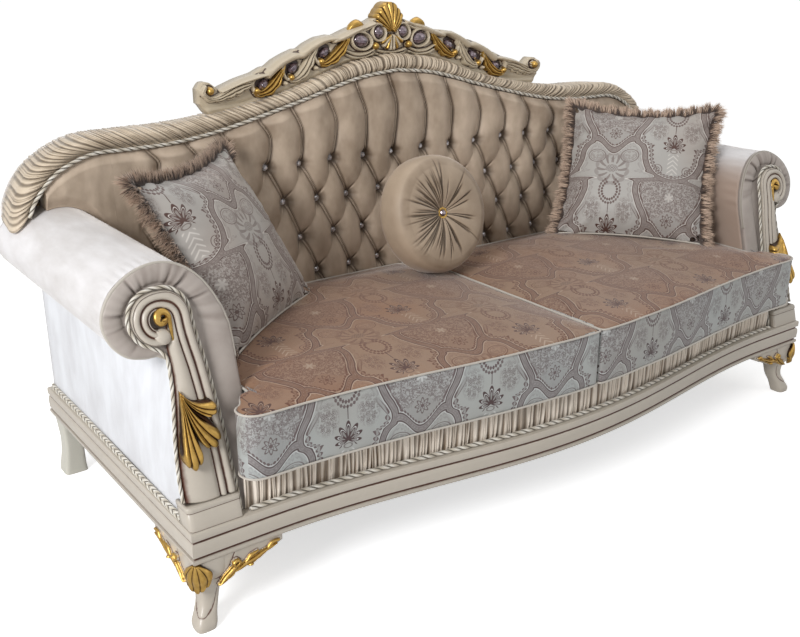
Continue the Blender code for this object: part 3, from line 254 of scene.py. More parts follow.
def slab_grid(name, front, back):
    """Closed body between two equal grids of points."""
    front = np.asarray(front, dtype=float)
    back = np.asarray(back, dtype=float)
    rows, cols = front.shape[:2]
    total = rows * cols
    faces = sheet_faces(rows, cols)
    faces += [tuple(reversed(f)) for f in sheet_faces(rows, cols, start=total)]
    rim = list(range(cols)) + [r * cols + cols - 1 for r in range(1, rows)]
    rim += [(rows - 1) * cols + c for c in range(cols - 2, -1, -1)]
    rim += [r * cols for r in range(rows - 2, 0, -1)]
    for k, a in enumerate(rim):
        b = rim[(k + 1) % len(rim)]
        faces.append((a, b, b + total, a + total))
    points = np.r_[front.reshape(-1, 3), back.reshape(-1, 3)]
    return make(name, points, faces)


def attribute(obj, name, values):
    """One number per vertex, for the materials."""
    layer = obj.data.attributes.new(name, "FLOAT", "POINT")
    layer.data.foreach_set("value", np.asarray(values, dtype=np.float32))


def read(items, key, kind=np.float32):
    """Vectors or counts of all vertices, faces or corners at once."""
    width = 3 if kind is np.float32 else 1
    values = np.zeros(len(items) * width, dtype=kind)
    items.foreach_get(key, values)
    return values.reshape(-1, 3).astype(float) if width == 3 else values


def darken(obj, values):
    """One number per vertex, for rubbed glaze and painted light: on lacquer and gilt 0 on worn edges to 1 in
    grooves; on cloth high for painted shade in folds and low for painted highlight on ridges; on cords high
    for painted shade between strands; on fringe from painted shade at the root (0) to painted light at the
    tip.
    """
    attribute(obj, "hollow", values)


def coords(obj):
    return read(obj.data.vertices, "co")


def set_coords(obj, co):
    obj.data.vertices.foreach_set("co", np.asarray(co, dtype=np.float32).ravel())
    obj.data.update()


def normals(obj):
    return read(obj.data.vertex_normals, "vector")


def set_pattern(obj, uv):
    """Pattern place in metres, one pair per face corner."""
    layer = obj.data.uv_layers.new(name="pattern")
    layer.data.foreach_set("uv", np.asarray(uv, dtype=np.float32).ravel())


def corner_vertices(obj):
    return read(obj.data.loops, "vertex_index", np.int32)


def paint(obj, second):
    """Gives the faces that are picked the second material; faces past the list keep the first."""
    index = np.zeros(len(obj.data.polygons), dtype=np.int32)
    index[:second.size] = second.ravel()
    obj.data.polygons.foreach_set("material_index", index)


def apply_modifiers(obj):
    bpy.context.view_layer.update()
    graph = bpy.context.evaluated_depsgraph_get()
    mesh = bpy.data.meshes.new_from_object(obj.evaluated_get(graph))
    obj.modifiers.clear()
    old = obj.data
    obj.data = mesh
    mesh.name = obj.name
    bpy.data.meshes.remove(old)
    return obj


def neighbours_mean(obj, values, rounds):
    """Value at each vertex, taken from its neighbours several times."""
    edges = np.zeros(len(obj.data.edges) * 2, dtype=np.int32)
    obj.data.edges.foreach_get("vertices", edges)
    a, b = edges.reshape(-1, 2).T
    count = np.bincount(np.r_[a, b], minlength=len(obj.data.vertices))
    count = np.maximum(count, 1)
    values = np.asarray(values, dtype=float)
    for _ in range(rounds):
        total = np.zeros_like(values)
        np.add.at(total, a, values[b])
        np.add.at(total, b, values[a])
        values = total / (count if values.ndim == 1 else count[:, None])
    return values


HOLLOW_DEPTH = 0.0012


def hollows(obj):
    """Finds the grooves and the edges of a body from its own shape."""
    co = coords(obj)
    depth = np.einsum("ij,ij->i", neighbours_mean(obj, co, 3) - co, normals(obj)) / HOLLOW_DEPTH
    darken(obj, np.clip(0.5 + 0.5 * neighbours_mean(obj, depth, 1), 0.0, 1.0))


def cord(name, path, radius, lay, sides=20, depth=0.34, step=0.0016):
    """Twisted cord along a path in the drawing's frame; with no depth it is plain piping."""
    length = run_length(path)[-1]
    count = max(8, int(length / step))
    path = resample(path, count)
    along = unit(np.gradient(path, axis=0))
    side = np.cross(along[0], (0.31, 0.47, 0.83))
    side /= np.linalg.norm(side)
    rings, strand = [], []
    turns = circle(sides)
    run = np.linspace(0.0, length, count)
    for i in range(count):
        side = side - along[i] * side.dot(along[i])
        side /= np.linalg.norm(side)
        other = np.cross(along[i], side)
        bump = np.abs(np.cos(turns - np.pi * run[i] / lay))
        r = radius * (1 - depth + depth * bump)
        rings.append(ring_round(path[i], r[:, None], turns, side, other))
        strand.append(bump)
    obj = loft(name, rings)
    # Painted shade between the strands; on plain piping it darkens two lines along the tube
    darken(obj, 1.0 - np.array(strand).ravel())
    attribute(obj, "ply", 0.5 + 0.5 * np.sin(turns - np.pi * run[:, None] / lay).ravel())
    return obj


# Node graphs written as sums

class Num:
    """A number in a node graph, with the usual signs."""

    def __init__(self, graph, socket):
        self.graph = graph
        self.socket = socket

    def __add__(self, other):
        return self.graph.math("ADD", self, other)

    def __sub__(self, other):
        return self.graph.math("SUBTRACT", self, other)

    def __rsub__(self, other):
        return self.graph.math("SUBTRACT", other, self)

    def __mul__(self, other):
        return self.graph.math("MULTIPLY", self, other)

    def __truediv__(self, other):
        return self.graph.math("DIVIDE", self, other)

    def __pow__(self, other):
        return self.graph.math("POWER", self, other)

    __radd__ = __add__
    __rmul__ = __mul__


class Graph:
    """A material and the short forms that fill its node tree."""

    def __init__(self, name):
        self.mat = bpy.data.materials.new(name)
        self.mat.use_nodes = True
        self.tree = self.mat.node_tree
        self.shader = self.tree.nodes["Principled BSDF"]

    def new(self, kind, **settings):
        node = self.tree.nodes.new(kind)
        for key, value in settings.items():
            setattr(node, key, value)
        return node

    def link(self, value, socket):
        if isinstance(value, Num):
            value = value.socket
        if isinstance(value, bpy.types.NodeSocket):
            self.tree.links.new(value, socket)
        else:
            socket.default_value = value

    def math(self, operation, *values):
        node = self.new("ShaderNodeMath", operation=operation)
        for value, socket in zip(values, node.inputs):
            self.link(value, socket)
        return Num(self, node.outputs[0])

    def sin(self, a):
        return self.math("SINE", a)

    def cos(self, a):
        return self.math("COSINE", a)

    def abs(self, a):
        return self.math("ABSOLUTE", a)

    def least(self, a, b):
        return self.math("MINIMUM", a, b)

    def most(self, a, b):
        return self.math("MAXIMUM", a, b)

    def clamp(self, a):
        return self.least(self.most(a, 0.0), 1.0)

    def wrap(self, a):
        """Into the range from -0.5 to 0.5."""
        return self.math("WRAP", a, 0.5, -0.5)

    def above(self, a, edge, soft):
        """0 below the edge, 1 above it."""
        return self.clamp((a - edge) / soft + 0.5)

    def line(self, a, centre, half, soft):
        """1 where a lies within half of the centre."""
        return self.clamp((half - self.abs(a - centre)) / soft + 0.5)

    def radius(self, a, b):
        return self.math("SQRT", a * a + b * b)

    def angle(self, a, b):
        return self.math("ARCTAN2", a, b)

    def split(self, vector):
        node = self.new("ShaderNodeSeparateXYZ")
        self.link(vector, node.inputs[0])
        return [Num(self, s) for s in node.outputs]

    def join(self, x, y, z):
        node = self.new("ShaderNodeCombineXYZ")
        for value, socket in zip((x, y, z), node.inputs):
            self.link(value, socket)
        return node.outputs[0]

    def pattern(self):
        node = self.new("ShaderNodeUVMap", uv_map="pattern")
        return self.split(node.outputs[0])[:2]

    def value(self, name):
        node = self.new("ShaderNodeAttribute", attribute_name=name)
        return Num(self, node.outputs["Fac"])

    def noise(self, scale, detail=3.0, rough=0.55, stretch=None):
        node = self.new("ShaderNodeTexNoise")
        vector = self.new("ShaderNodeTexCoord").outputs["Object"]
        if stretch:
            mapping = self.new("ShaderNodeMapping")
            self.link(vector, mapping.inputs[0])
            mapping.inputs["Scale"].default_value = stretch
            vector = mapping.outputs[0]
        self.link(vector, node.inputs["Vector"])
        node.inputs["Scale"].default_value = scale
        node.inputs["Detail"].default_value = detail
        node.inputs["Roughness"].default_value = rough
        return Num(self, node.outputs["Fac"])

    def mix(self, share, a, b):
        node = self.new("ShaderNodeMix", data_type="RGBA")
        self.link(share, node.inputs[0])
        for value, socket in ((a, node.inputs[6]), (b, node.inputs[7])):
            if isinstance(value, tuple):
                value = (*value[:3], 1.0)
            self.link(value, socket)
        return node.outputs[2]

    def bump(self, height, distance, strength):
        node = self.new("ShaderNodeBump")
        node.inputs["Strength"].default_value = strength
        node.inputs["Distance"].default_value = distance
        self.link(height, node.inputs["Height"])
        self.link(node.outputs[0], self.shader.inputs["Normal"])

    def set(self, **values):
        for key, value in values.items():
            self.link(value, self.shader.inputs[key.replace("_", " ")])


def rgb(text):
    """Linear colour from a hex screen colour."""
    out = []
    for i in (0, 2, 4):
        c = int(text[i:i + 2], 16) / 255
        out.append(c / 12.92 if c <= 0.04045 else ((c + 0.055) / 1.055) ** 2.4)
    return tuple(out)


def flower(g, x, y, size, petals, turn, soft):
    """Outline and eye of a small flower round the origin."""
    r = g.radius(x, y)
    edge = size * (0.80 + 0.20 * g.cos(g.angle(x, y) * petals + turn))
    return g.most(g.line(r - edge, 0.0, 0.11 * size, soft), g.line(r, 0.0, 0.26 * size, soft))


def sprigs(g, p, q, spacing, seed):
    """Scattered small flowers and buds."""
    node = g.new("ShaderNodeTexVoronoi", voronoi_dimensions="2D")
    g.link(g.join(p + seed, q, 0.0), node.inputs["Vector"])
    node.inputs["Scale"].default_value = 1.0 / spacing
    node.inputs["Randomness"].default_value = 0.7
    cx, cy = g.split(node.outputs["Position"])[:2]
    tone = g.split(node.outputs["Color"])[0]
    return flower(g, p + seed - cx, q - cy, 0.38 * spacing, 5.0, tone * 6.0, 0.10 * spacing)


def outline_curve(g, height):
    """Half width of the pale field at a height over its lotus."""
    lower = [(-0.140, -0.040), (-0.130, 0.004), (-0.120, 0.042), (-0.100, 0.068), (-0.064, 0.085),
             (-0.036, 0.089), (-0.018, 0.098), (0.000, 0.116), (0.018, 0.118), (0.040, 0.110),
             (0.062, 0.0975), (0.090, 0.086), (0.115, 0.080), (0.138, 0.084), (0.1475, 0.112)]
    upper = [(q + PY / 2, PX / 2 - w) for q, w in lower if -0.125 < q < 0.02]
    node = g.new("ShaderNodeFloatCurve")
    curve = node.mapping.curves[0]
    places = [((q + 0.14) / 0.5, (w + 0.05) / 0.25) for q, w in lower + upper]
    curve.points[0].location = places[0]
    curve.points[1].location = places[-1]
    for place in places[1:-1]:
        curve.points.new(*place)
    node.mapping.update()
    g.link((height + 0.14) / 0.5, node.inputs["Value"])
    return Num(g, node.outputs["Value"]) * 0.25 - 0.05


def field(g, p, q):
    """Rough distance outside the pale field of a column."""
    step = 0.004
    wide = outline_curve(g, q)
    slope = (outline_curve(g, q + step) - outline_curve(g, q - step)) / (2 * step)
    side = (p - wide) / ((1.0 + slope * slope) ** 0.5)
    arch = q - 0.262 + 0.022 * g.cos(g.least(p, 0.060) * 52.0)
    foot = -0.1375 - q
    return g.most(side, g.most(arch * 0.8, foot))


def damask(g, u, v):
    """Ogee damask: shares of figure yarn, dark yarn and bright yarn."""
    p1 = g.abs(g.wrap(u / PX)) * PX
    p2 = PX / 2 - p1
    q1 = g.wrap(v / PY - 0.26) * PY + 0.26 * PY
    q2 = g.wrap(v / PY - 0.76) * PY + 0.26 * PY
    s1 = field(g, p1, q1)
    s2 = field(g, p2, q2)
    other = g.above(s1 - s2, 0.0, 0.0002)
    p = p1 + other * (p2 - p1)
    q = q1 + other * (q2 - q1)
    s = g.least(s1, s2)
    far = g.above(g.abs(q1 - 0.335) - g.abs(q2 - 0.335), 0.0, 0.0002)
    m = p1 + far * (p2 - p1)
    n = q1 + far * (q2 - q1)
    along = q + p * 1.3
    # Ribbon: two lines with a chain of dashes between, and garlands of leaves
    band = g.abs(s)
    dash = g.line(band, 0.0, 0.0021, 0.001) * g.above(g.sin(along * 420.0), -0.2, 0.5)
    fill = g.line(band, 0.0, 0.0088, 0.0015)
    edges = g.line(band, 0.0080, 0.0014, 0.0012)
    rims = g.most(g.line(band, 0.0052, 0.0008, 0.0010), g.line(band, 0.0106, 0.0009, 0.0010))
    leaf = g.abs(g.sin(along * 190.0 - s * 170.0))
    low = g.above(0.050 - q, 0.0, 0.05)
    inner = g.line(s, -0.0190, 0.0075 * leaf, 0.0015) * (1.0 - 0.7 * g.line(s, -0.0190, 0.0030 * leaf, 0.001))
    inner = inner * (0.25 + 0.75 * low)
    outer = g.line(s, 0.0140, 0.0030 * leaf, 0.0012)
    inside = g.above(-0.0110 - s, 0.0, 0.002)
    dense = g.above(s, 0.0110, 0.0020)
    small = g.most(sprigs(g, m, n, 0.0210, 3.0), sprigs(g, n, m, 0.0100, 5.0) * 0.7)
    # Rosette over the arch, and a bright flower in the cluster over it
    rose_r = g.radius(m, n - 0.300)
    rosette = g.most(flower(g, m, n - 0.300, 0.0190, 8.0, 0.0, 0.0018),
                     flower(g, m, n - 0.300, 0.0100, 6.0, 3.1, 0.0015))
    rosette = rosette * g.above(0.024 - rose_r, 0.0, 0.001)
    clear = g.above(rose_r, 0.026, 0.0015) * g.above(g.radius(m, n - 0.372), 0.014, 0.0015)
    cluster = g.above(n, 0.318 - 0.4 * m, 0.010)
    mottle = g.above(g.noise(170.0, 3.0), 0.50, 0.12)
    small = g.most(small * clear * (0.35 + 0.65 * cluster), mottle * clear * (0.30 + 0.40 * cluster))
    bloom_r = g.radius(m, n - 0.372)
    bloom = g.above(0.0105 + 0.0050 * g.cos(g.angle(m, n - 0.372) * 6.0) - bloom_r, 0.0, 0.0012)
    # Sprays beside the lotus and a wreath over it
    spray = g.line(g.radius(p - 0.052, (q - 0.045) * 0.75), 0.0, 0.0270, 0.012)
    spray = spray * g.most(sprigs(g, p, q, 0.0140, 9.0), sprigs(g, q, p, 0.0070, 1.0) * 0.9)
    ring = g.radius(p * 1.15, (q - 0.105) * 0.92)
    ring_turn = g.angle(p * 1.15, (q - 0.105) * 0.92)
    dots = g.line(ring, 0.0275, 0.0045 * g.abs(g.sin(ring_turn * 10.0)), 0.001)
    dots = g.most(dots, g.line(ring, 0.0380, 0.0040 * g.abs(g.cos(ring_turn * 12.0)), 0.001) * 0.8)
    dots = dots * g.above(ring_turn - 0.35, 0.0, 0.05)
    # Crown of curved strokes, its basket and the leaves beside it
    crown_q = q - 0.178
    crown_r = g.radius(p, crown_q)
    bent = g.angle(p, crown_q) + crown_r * 9.0
    ray = g.abs(g.sin(bent * 5.5))
    rays = g.line(crown_r, 0.0340, 0.0150 * ray, 0.003) * g.above(ray, 0.80, 0.08)
    rays = g.most(rays, g.line(crown_r, 0.0500, 0.0070 * g.abs(g.cos(bent * 5.5)), 0.002) * 0.6)
    weave = g.above(g.sin(p * 900.0) * g.sin(crown_q * 700.0), 0.15, 0.3)
    basket = g.line(g.radius(p * 0.62, crown_q), 0.0, 0.0125, 0.0015) * (0.35 + 0.65 * weave)
    leaf_r = g.radius((p - 0.052) * 0.8 + (q - 0.222) * 0.5, (q - 0.222) * 1.1 - (p - 0.052) * 0.5)
    paisley = g.most(g.line(leaf_r, 0.0260, 0.0013, 0.001), g.line(leaf_r, 0.0200, 0.0010, 0.001) * 0.7)
    paisley = g.most(paisley, g.line(leaf_r, 0.0, 0.0185, 0.001) * sprigs(g, p, q, 0.0110, 2.0))
    # Lotus of pointed petals with bright edges, its stem and its foot
    fan_q = q + 0.018
    lr = g.radius(p, fan_q)
    fan = g.angle(p, fan_q)
    lobe = g.abs(g.cos(fan * 5.6))
    reach = 1.0 - 0.21 * g.abs(fan)
    tip = (0.0265 + 0.0180 * lobe ** 1.2) * reach
    shape = g.above(2.18 - fan, 0.0, 0.05)
    lotus = g.above(tip + 0.0045 * lobe - lr, 0.0, 0.0020) * shape
    petal = g.line(lr, tip - 0.0050, 0.0013, 0.0012) * g.above(lobe, 0.15, 0.15) * shape
    heart = g.line(lr / tip, 0.50, 0.22, 0.12) * g.line(lobe, 1.0, 0.20, 0.10) * shape
    stem = g.line(p, 0.0, 0.0010, 0.0010) * g.line(q, 0.050, 0.016, 0.002)
    foot = g.line(g.radius(p, (q + 0.030) * 1.8), 0.0100, 0.0020, 0.001)
    # Ladder of bright chevrons and curls at the foot of the field
    ladder = g.line(g.wrap((q + p * 0.9) / 0.0150), 0.0, 0.15, 0.12) * g.above(0.016 - p, 0.0, 0.002)
    ladder = ladder * g.line(q, -0.074, 0.034, 0.004)
    coil_r = g.radius(p - 0.046, q + 0.094)
    coil = g.wrap((coil_r / 0.0085) - g.angle(p - 0.046, q + 0.094) / (2 * math.pi))
    curl = g.line(coil, 0.0, 0.14, 0.08) * g.above(0.0175 - coil_r, 0.0, 0.001)
    figure = g.most(fill * 0.60, g.most(inner, outer) * 0.95)
    figure = g.most(figure, dense * g.most(small, rosette) * 0.9)
    figure = g.most(figure, inside * g.most(spray, g.most(dots, g.most(rays * 0.55, paisley * 0.75))))
    figure = g.most(figure, g.most(dense * 0.22, inside * curl * 0.8))
    dark = g.most(edges * 0.85, inside * g.most(basket * 0.6, lotus * (1.0 - petal) * (1.0 - 0.6 * heart)))
    dark = g.most(dark, inside * g.most(stem, foot * 0.6))
    bright = g.most(g.most(rims * 0.8, dash * 0.7), inside * g.most(ladder * 0.8, petal))
    bright = g.most(bright, dense * g.most(bloom, cluster * clear * (1.0 - small) * 0.30))
    return g.clamp(figure), g.clamp(dark), g.clamp(bright)


def damask_material(name, ground, figure, dark, bright, warm):
    g = Graph(name)
    u, v = g.pattern()
    yarn, lotus, silver = damask(g, u, v)
    grain = g.noise(60.0, 2.0)
    yarn = yarn * (0.80 + 0.4 * grain)
    ground = g.mix(g.clamp((g.noise(2.2, 2.0) - 0.42) * 3.0), ground, warm)
    colour = g.mix(silver * 0.85, ground, bright)
    colour = g.mix(g.clamp(yarn * 1.15), colour, figure)
    colour = g.mix(lotus, colour, dark)
    soil = g.noise(5.0, 3.0)
    colour = g.mix(g.above(soil, 0.55, 0.5) * 0.14, colour, tuple(0.72 * c for c in figure))
    weave = g.sin(u * 4200.0) * g.sin(v * 3600.0)
    g.set(Base_Color=colour, Roughness=0.42 + 0.22 * yarn, Sheen_Weight=0.25, Sheen_Roughness=0.4,
          Specular_IOR_Level=0.42)
    g.bump(weave * 0.25 + yarn + lotus * 0.8, 0.00035, 0.6)
    return g.mat


def velvet_material(name, deep, pale, streak, crease, sheen, shaded_side=None):
    """Crushed velvet: broad cloudy pile and fine pile; with creases, painted shade in the folds and a painted
    highlight on the ridges; a shaded copy adds painted shade on one side.
    """
    g = Graph(name)
    cloud = g.noise(7.0, 4.0, stretch=streak, rough=0.6)
    brushed = g.noise(26.0, 3.0, stretch=streak, rough=0.5)
    share = g.clamp((cloud - 0.5) * 2.2 + (brushed - 0.5) * 1.1 + 0.5)
    colour = g.mix(share, deep, pale)
    # Painted shade where the hollow value is high, painted highlight where it is low
    if crease:
        hollow = g.value("hollow")
        colour = g.mix(g.above(hollow, 0.62, 0.34) * 0.75, colour, tuple(0.42 * c for c in deep))
        painted_highlight = tuple(min(1.0, 1.22 * c) for c in pale)
        colour = g.mix(g.above(0.40 - hollow, 0.0, 0.25) * 0.70, colour, painted_highlight)
    # Painted shade: the cloth turns to the darker colour where the hollow value is high, on the arm's inner
    # side
    if shaded_side:
        colour = g.mix(g.clamp(g.value("hollow") + (cloud - 0.5) * 0.25), colour, shaded_side)
    pile = g.noise(900.0, 2.0)
    g.set(Base_Color=colour, Roughness=0.46 + 0.16 * pile, Sheen_Weight=sheen, Sheen_Roughness=0.32,
          Specular_IOR_Level=0.42)
    g.shader.inputs["Sheen Tint"].default_value = (1.0, 0.95, 0.90, 1.0)
    g.bump(pile + brushed * 2.0, 0.0006, 0.35)
    return g.mat


def lacquer_material(name, body, glaze, rubbed=True, gloss=0.34):
    """Cream lacquer with a brown glaze left in the hollows."""
    g = Graph(name)
    broad = g.noise(9.0, 4.0)
    fine = g.noise(70.0, 3.0)
    colour = g.mix(g.clamp((broad - 0.4) * 1.6), body, tuple(0.88 * c for c in body))
    if rubbed:
        hollow = g.value("hollow") + (fine - 0.5) * 0.25
        colour = g.mix(g.above(hollow, 0.70, 0.30), colour, glaze)
        worn = tuple(min(1.0, 1.12 * c) for c in body)
        colour = g.mix(g.above(0.28 - hollow, 0.0, 0.2) * 0.4, colour, worn)
    g.set(Base_Color=colour, Roughness=gloss + 0.14 * fine, Coat_Weight=0.25, Coat_Roughness=0.2,
          Specular_IOR_Level=0.5)
    g.bump(fine + broad, 0.0008, 0.25)
    return g.mat


def gold_material(name):
    """Gold leaf over red ground, mottled, and brown in the hollows."""
    g = Graph(name)
    fine = g.noise(85.0, 4.0)
    colour = g.mix(g.clamp(fine), rgb("cba75f"), rgb("93702f"))
    hollow = g.value("hollow") + (fine - 0.5) * 0.3
    colour = g.mix(g.above(hollow, 0.64, 0.26), colour, rgb("331d0d"))
    g.set(Base_Color=colour, Metallic=0.85, Roughness=0.24 + 0.20 * fine, Specular_IOR_Level=0.6)
    g.bump(fine, 0.0006, 0.5)
    return g.mat


def cord_material(name, pale, shade, other):
    g = Graph(name)
    hollow = g.value("hollow")
    ply = g.value("ply")
    thread = g.noise(700.0, 2.0)
    colour = g.mix(g.above(ply, 0.52, 0.25) * 0.75, pale, other)
    # Painted shade between the strands, where the hollow value is high
    colour = g.mix(g.above(hollow, 0.58, 0.36), colour, shade)
    g.set(Base_Color=colour, Roughness=0.45 + 0.2 * thread, Sheen_Weight=0.3, Specular_IOR_Level=0.4)
    g.bump(thread, 0.0005, 0.5)
    return g.mat


def glass_material(name, body, glow):
    """Faceted foil-backed stones: their own colour with bright patches mixed in, painted glints that stand
    for the light coming back from inside.
    """
    g = Graph(name)
    fine = g.noise(140.0, 2.0)
    # The glow colour is a painted glint, scattered over the stone by noise
    colour = g.mix(g.clamp((fine - 0.3) * 2.0), body, glow)
    g.set(Base_Color=colour, Roughness=0.06, Metallic=0.35, Specular_IOR_Level=1.0, Coat_Weight=1.0,
          Coat_Roughness=0.02)
    return g.mat


def fringe_material(name, root, middle, tip):
    """Cut threads: painted shade makes them dark at the root and painted light paler towards the tip."""
    g = Graph(name)
    tone = g.value("hollow")
    fine = g.noise(120.0, 2.0)
    colour = g.mix(g.above(tone + (fine - 0.5) * 0.3, 0.40, 0.35), middle, tip)
    colour = g.mix(g.above(0.24 - tone, 0.0, 0.20), colour, root)
    g.set(Base_Color=colour, Roughness=0.6, Sheen_Weight=0.3)
    g.bump(fine, 0.0003, 0.4)
    return g.mat


def plain_material(name, light, deep, scale, roughness, stretch=(1.0, 1.0, 1.0), metallic=0.0, bump=0.0006):
    """Inner parts: wood, steel and lining cloth with their own grain."""
    g = Graph(name)
    grain = g.noise(scale, 5.0, stretch=stretch, rough=0.6)
    fine = g.noise(scale * 9.0, 2.0, stretch=stretch)
    share = g.clamp((grain - 0.5) * 2.4 + (fine - 0.5) * 0.8 + 0.5)
    g.set(Base_Color=g.mix(share, light, deep), Roughness=roughness + 0.12 * fine, Metallic=metallic)
    g.bump(grain + fine * 0.5, bump, 0.5)
    return g.mat


CREAM = rgb("b9b0a3")
GLAZE = rgb("542f20")
MATS = {
    # The seat's top takes a warmer, darker copy of the damask than the front band: painted reflection of the
    # warm velvet and painted shade inside the seat.
    "seat": damask_material("damask_seat", rgb("8f735d"), rgb("643f2e"), rgb("462217"), rgb("bba692"),
                            rgb("90674b")),
    "band": damask_material("damask_band", rgb("a9adab"), rgb("645656"), rgb("432e2e"), rgb("d8dad8"),
                            rgb("a29f99")),
    "pillow": damask_material("damask_pillow", rgb("aeaba6"), rgb("66544f"), rgb("4c322b"), rgb("dcd7d0"),
                              rgb("aa998d")),
    # The velvets of the padded back, the border and the arms are one cloth, in copies toned for where each
    # sits: darker on the padded back, the border and the arms' fronts as painted shade, paler on the arm
    # rolls and their outer panels as painted light.
    "tuft": velvet_material("velvet_tufted", rgb("6d5945"), rgb("c3b19d"), (1.0, 1.0, 0.6), True, 0.35),
    "ruche": velvet_material("velvet_ruched", rgb("85735d"), rgb("c9baa5"), (1.0, 1.0, 1.0), True, 0.4),
    "arm": velvet_material("velvet_arm", rgb("d9d3cf"), rgb("f1efee"), (1.4, 0.5, 1.0), False, 0.6),
    "arm_shaded_inside": velvet_material("velvet_arm_shaded_inside", rgb("cbc7c5"), rgb("e7e5e6"), (1.4, 0.5, 1.0), False, 0.6,
                           rgb("a08c7e")),
    "pad": velvet_material("velvet_pad_shaded", rgb("7d7068"), rgb("a89f98"), (1.0, 1.0, 1.0), True, 0.5),
    "panel": velvet_material("velvet_panel_lit", rgb("cdcdd0"), rgb("e3e5e9"), (1.2, 1.2, 0.5), False, 0.4),
    "apron": velvet_material("velvet_apron", rgb("80664a"), rgb("e4dacd"), (9.0, 1.0, 0.8), True, 0.5),
    "drum": velvet_material("velvet_drum", rgb("66533f"), rgb("a79581"), (1.0, 1.0, 1.0), True, 0.45),
    "cream": lacquer_material("cream_lacquer", CREAM, GLAZE),
    # A shaded copy of the cream lacquer for the crest, with a darker glaze: painted shade.
    "crest": lacquer_material("cream_lacquer_crest_shaded", rgb("bcae96"), rgb("3b2216")),
    "smooth": lacquer_material("cream_lacquer_plain", CREAM, GLAZE, False),
    "shade": lacquer_material("grey_lacquer", rgb("c9c6ba"), GLAZE, False, 0.45),
    "gold": gold_material("gold_leaf"),
    "cord": cord_material("cream_cord", rgb("dad5ca"), rgb("564d40"), rgb("b5ab99")),
    "gem": glass_material("smoked_glass", rgb("27161d"), rgb("9b8590")),
    "button": glass_material("crystal_button", rgb("c4c0c6"), rgb("ffffff")),
    "beech": plain_material("beech_frame", rgb("c9a77a"), rgb("a67f52"), 14.0, 0.55, (1.0, 9.0, 9.0)),
    "steel": plain_material("spring_steel", rgb("8d8f92"), rgb("5e6063"), 60.0, 0.30, metallic=0.9,
                            bump=0.0001),
    "lining": plain_material("lining_cloth", rgb("4a4642"), rgb("332f2c"), 500.0, 0.85),
    "welt": cord_material("silver_welt", rgb("b9b2a8"), rgb("857d73"), rgb("aca59a")),
    "fringe": fringe_material("brush_fringe", rgb("33231a"), rgb("654c3c"), rgb("c4ab96")),
}


def dress(obj, material, node=None, body="frame"):
    """Finish, body and slot of a piece, and the solid that it stands for."""
    obj.data.materials.clear()
    keys = [material] if isinstance(material, str) else material
    for key in keys:
        obj.data.materials.append(MATS[key])
    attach(obj, body)
    if node:
        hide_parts(node)


def along_seam(line, reach):
    """Picks the points of a pad that lie along a sewn seam."""
    def pick(co):
        gap = np.full(len(co), 9.0)
        for spot in line:
            gap = np.minimum(gap, np.abs(co - spot).max(axis=1))
        return gap < reach
    return pick


def swell(obj, voxel, cap, pressure, held):
    """Pressure in the cloth swells a pad between its seams; no point moves further than the cap."""
    mod = obj.modifiers.new("remesh", "REMESH")
    mod.mode = "VOXEL"
    mod.voxel_size = voxel
    apply_modifiers(obj)
    rest = coords(obj)
    frames = 20
    cloth = obj.modifiers.new("cloth", "CLOTH")
    cloth.settings.use_pressure = True
    cloth.settings.uniform_pressure_force = pressure
    cloth.settings.effector_weights.gravity = 0.0
    cloth.settings.quality = 4
    cloth.settings.mass = 0.25
    cloth.point_cache.frame_start = 1
    cloth.point_cache.frame_end = frames
    group = obj.vertex_groups.new(name="held")
    group.add(np.nonzero(held(rest))[0].tolist(), 1.0, "REPLACE")
    cloth.settings.vertex_group_mass = "held"
    scene = bpy.context.scene
    for f in range(1, frames + 1):
        scene.frame_set(f)
    apply_modifiers(obj)
    scene.frame_set(1)
    moved = coords(obj) - rest
    far = np.linalg.norm(moved, axis=1)
    share = np.minimum(1.0, cap / np.maximum(far, 1e-9))
    set_coords(obj, rest + moved * share[:, None])
    obj.data.shade_smooth()
    obj.modifiers.new("smooth", "SMOOTH").iterations = 2
    obj.modifiers.new("round", "SUBSURF").levels = 1
    apply_modifiers(obj)


# Seat cushions

def seat_rim(side, inset):
    """Plan outline of a seat cushion, from the seam along the front and round."""
    inner, outer, main = 0.0015, 0.9592, 0.889
    nose = float(seat_front(outer))
    pts = [(inner, float(seat_front(inner)))]
    pts += [(x, float(seat_front(x))) for x in np.linspace(0.11 * outer, outer - 0.030, 9)]
    pts += [(outer - 0.009, nose + 0.009), (outer, nose + 0.030), (outer - 0.002, -0.4396),
            (outer - 0.010, -0.4316), (main, -0.4216)]
    pts += [(main, y) for y in np.linspace(-0.28, SEAT_BACK - 0.02, 5)]
    pts += [(main - 0.02, SEAT_BACK)]
    pts += [(x, SEAT_BACK) for x in np.linspace(main - 0.2, inner + 0.1, 4)]
    pts += [(inner, SEAT_BACK)]
    pts += [(inner, y) for y in np.linspace(SEAT_BACK - 0.15, float(seat_front(inner)) + 0.15, 4)]
    rim = np.array(pts + [pts[0]])
    path = []
    for a, b in zip(rim[:-1], rim[1:]):
        n = max(1, int(np.linalg.norm(b - a) / 0.008))
        path += [a + (b - a) * k / n for k in range(n)]
    path = np.array(path)
    for _ in range(4):
        path = (np.roll(path, 1, 0) + 2 * path + np.roll(path, -1, 0)) / 4
    edge = unit(np.roll(path, -1, 0) - np.roll(path, 1, 0))
    path = path - np.c_[edge[:, 1], -edge[:, 0]] * inset
    path[:, 0] = np.maximum(path[:, 0], 0.0011)
    return path * (side, 1)


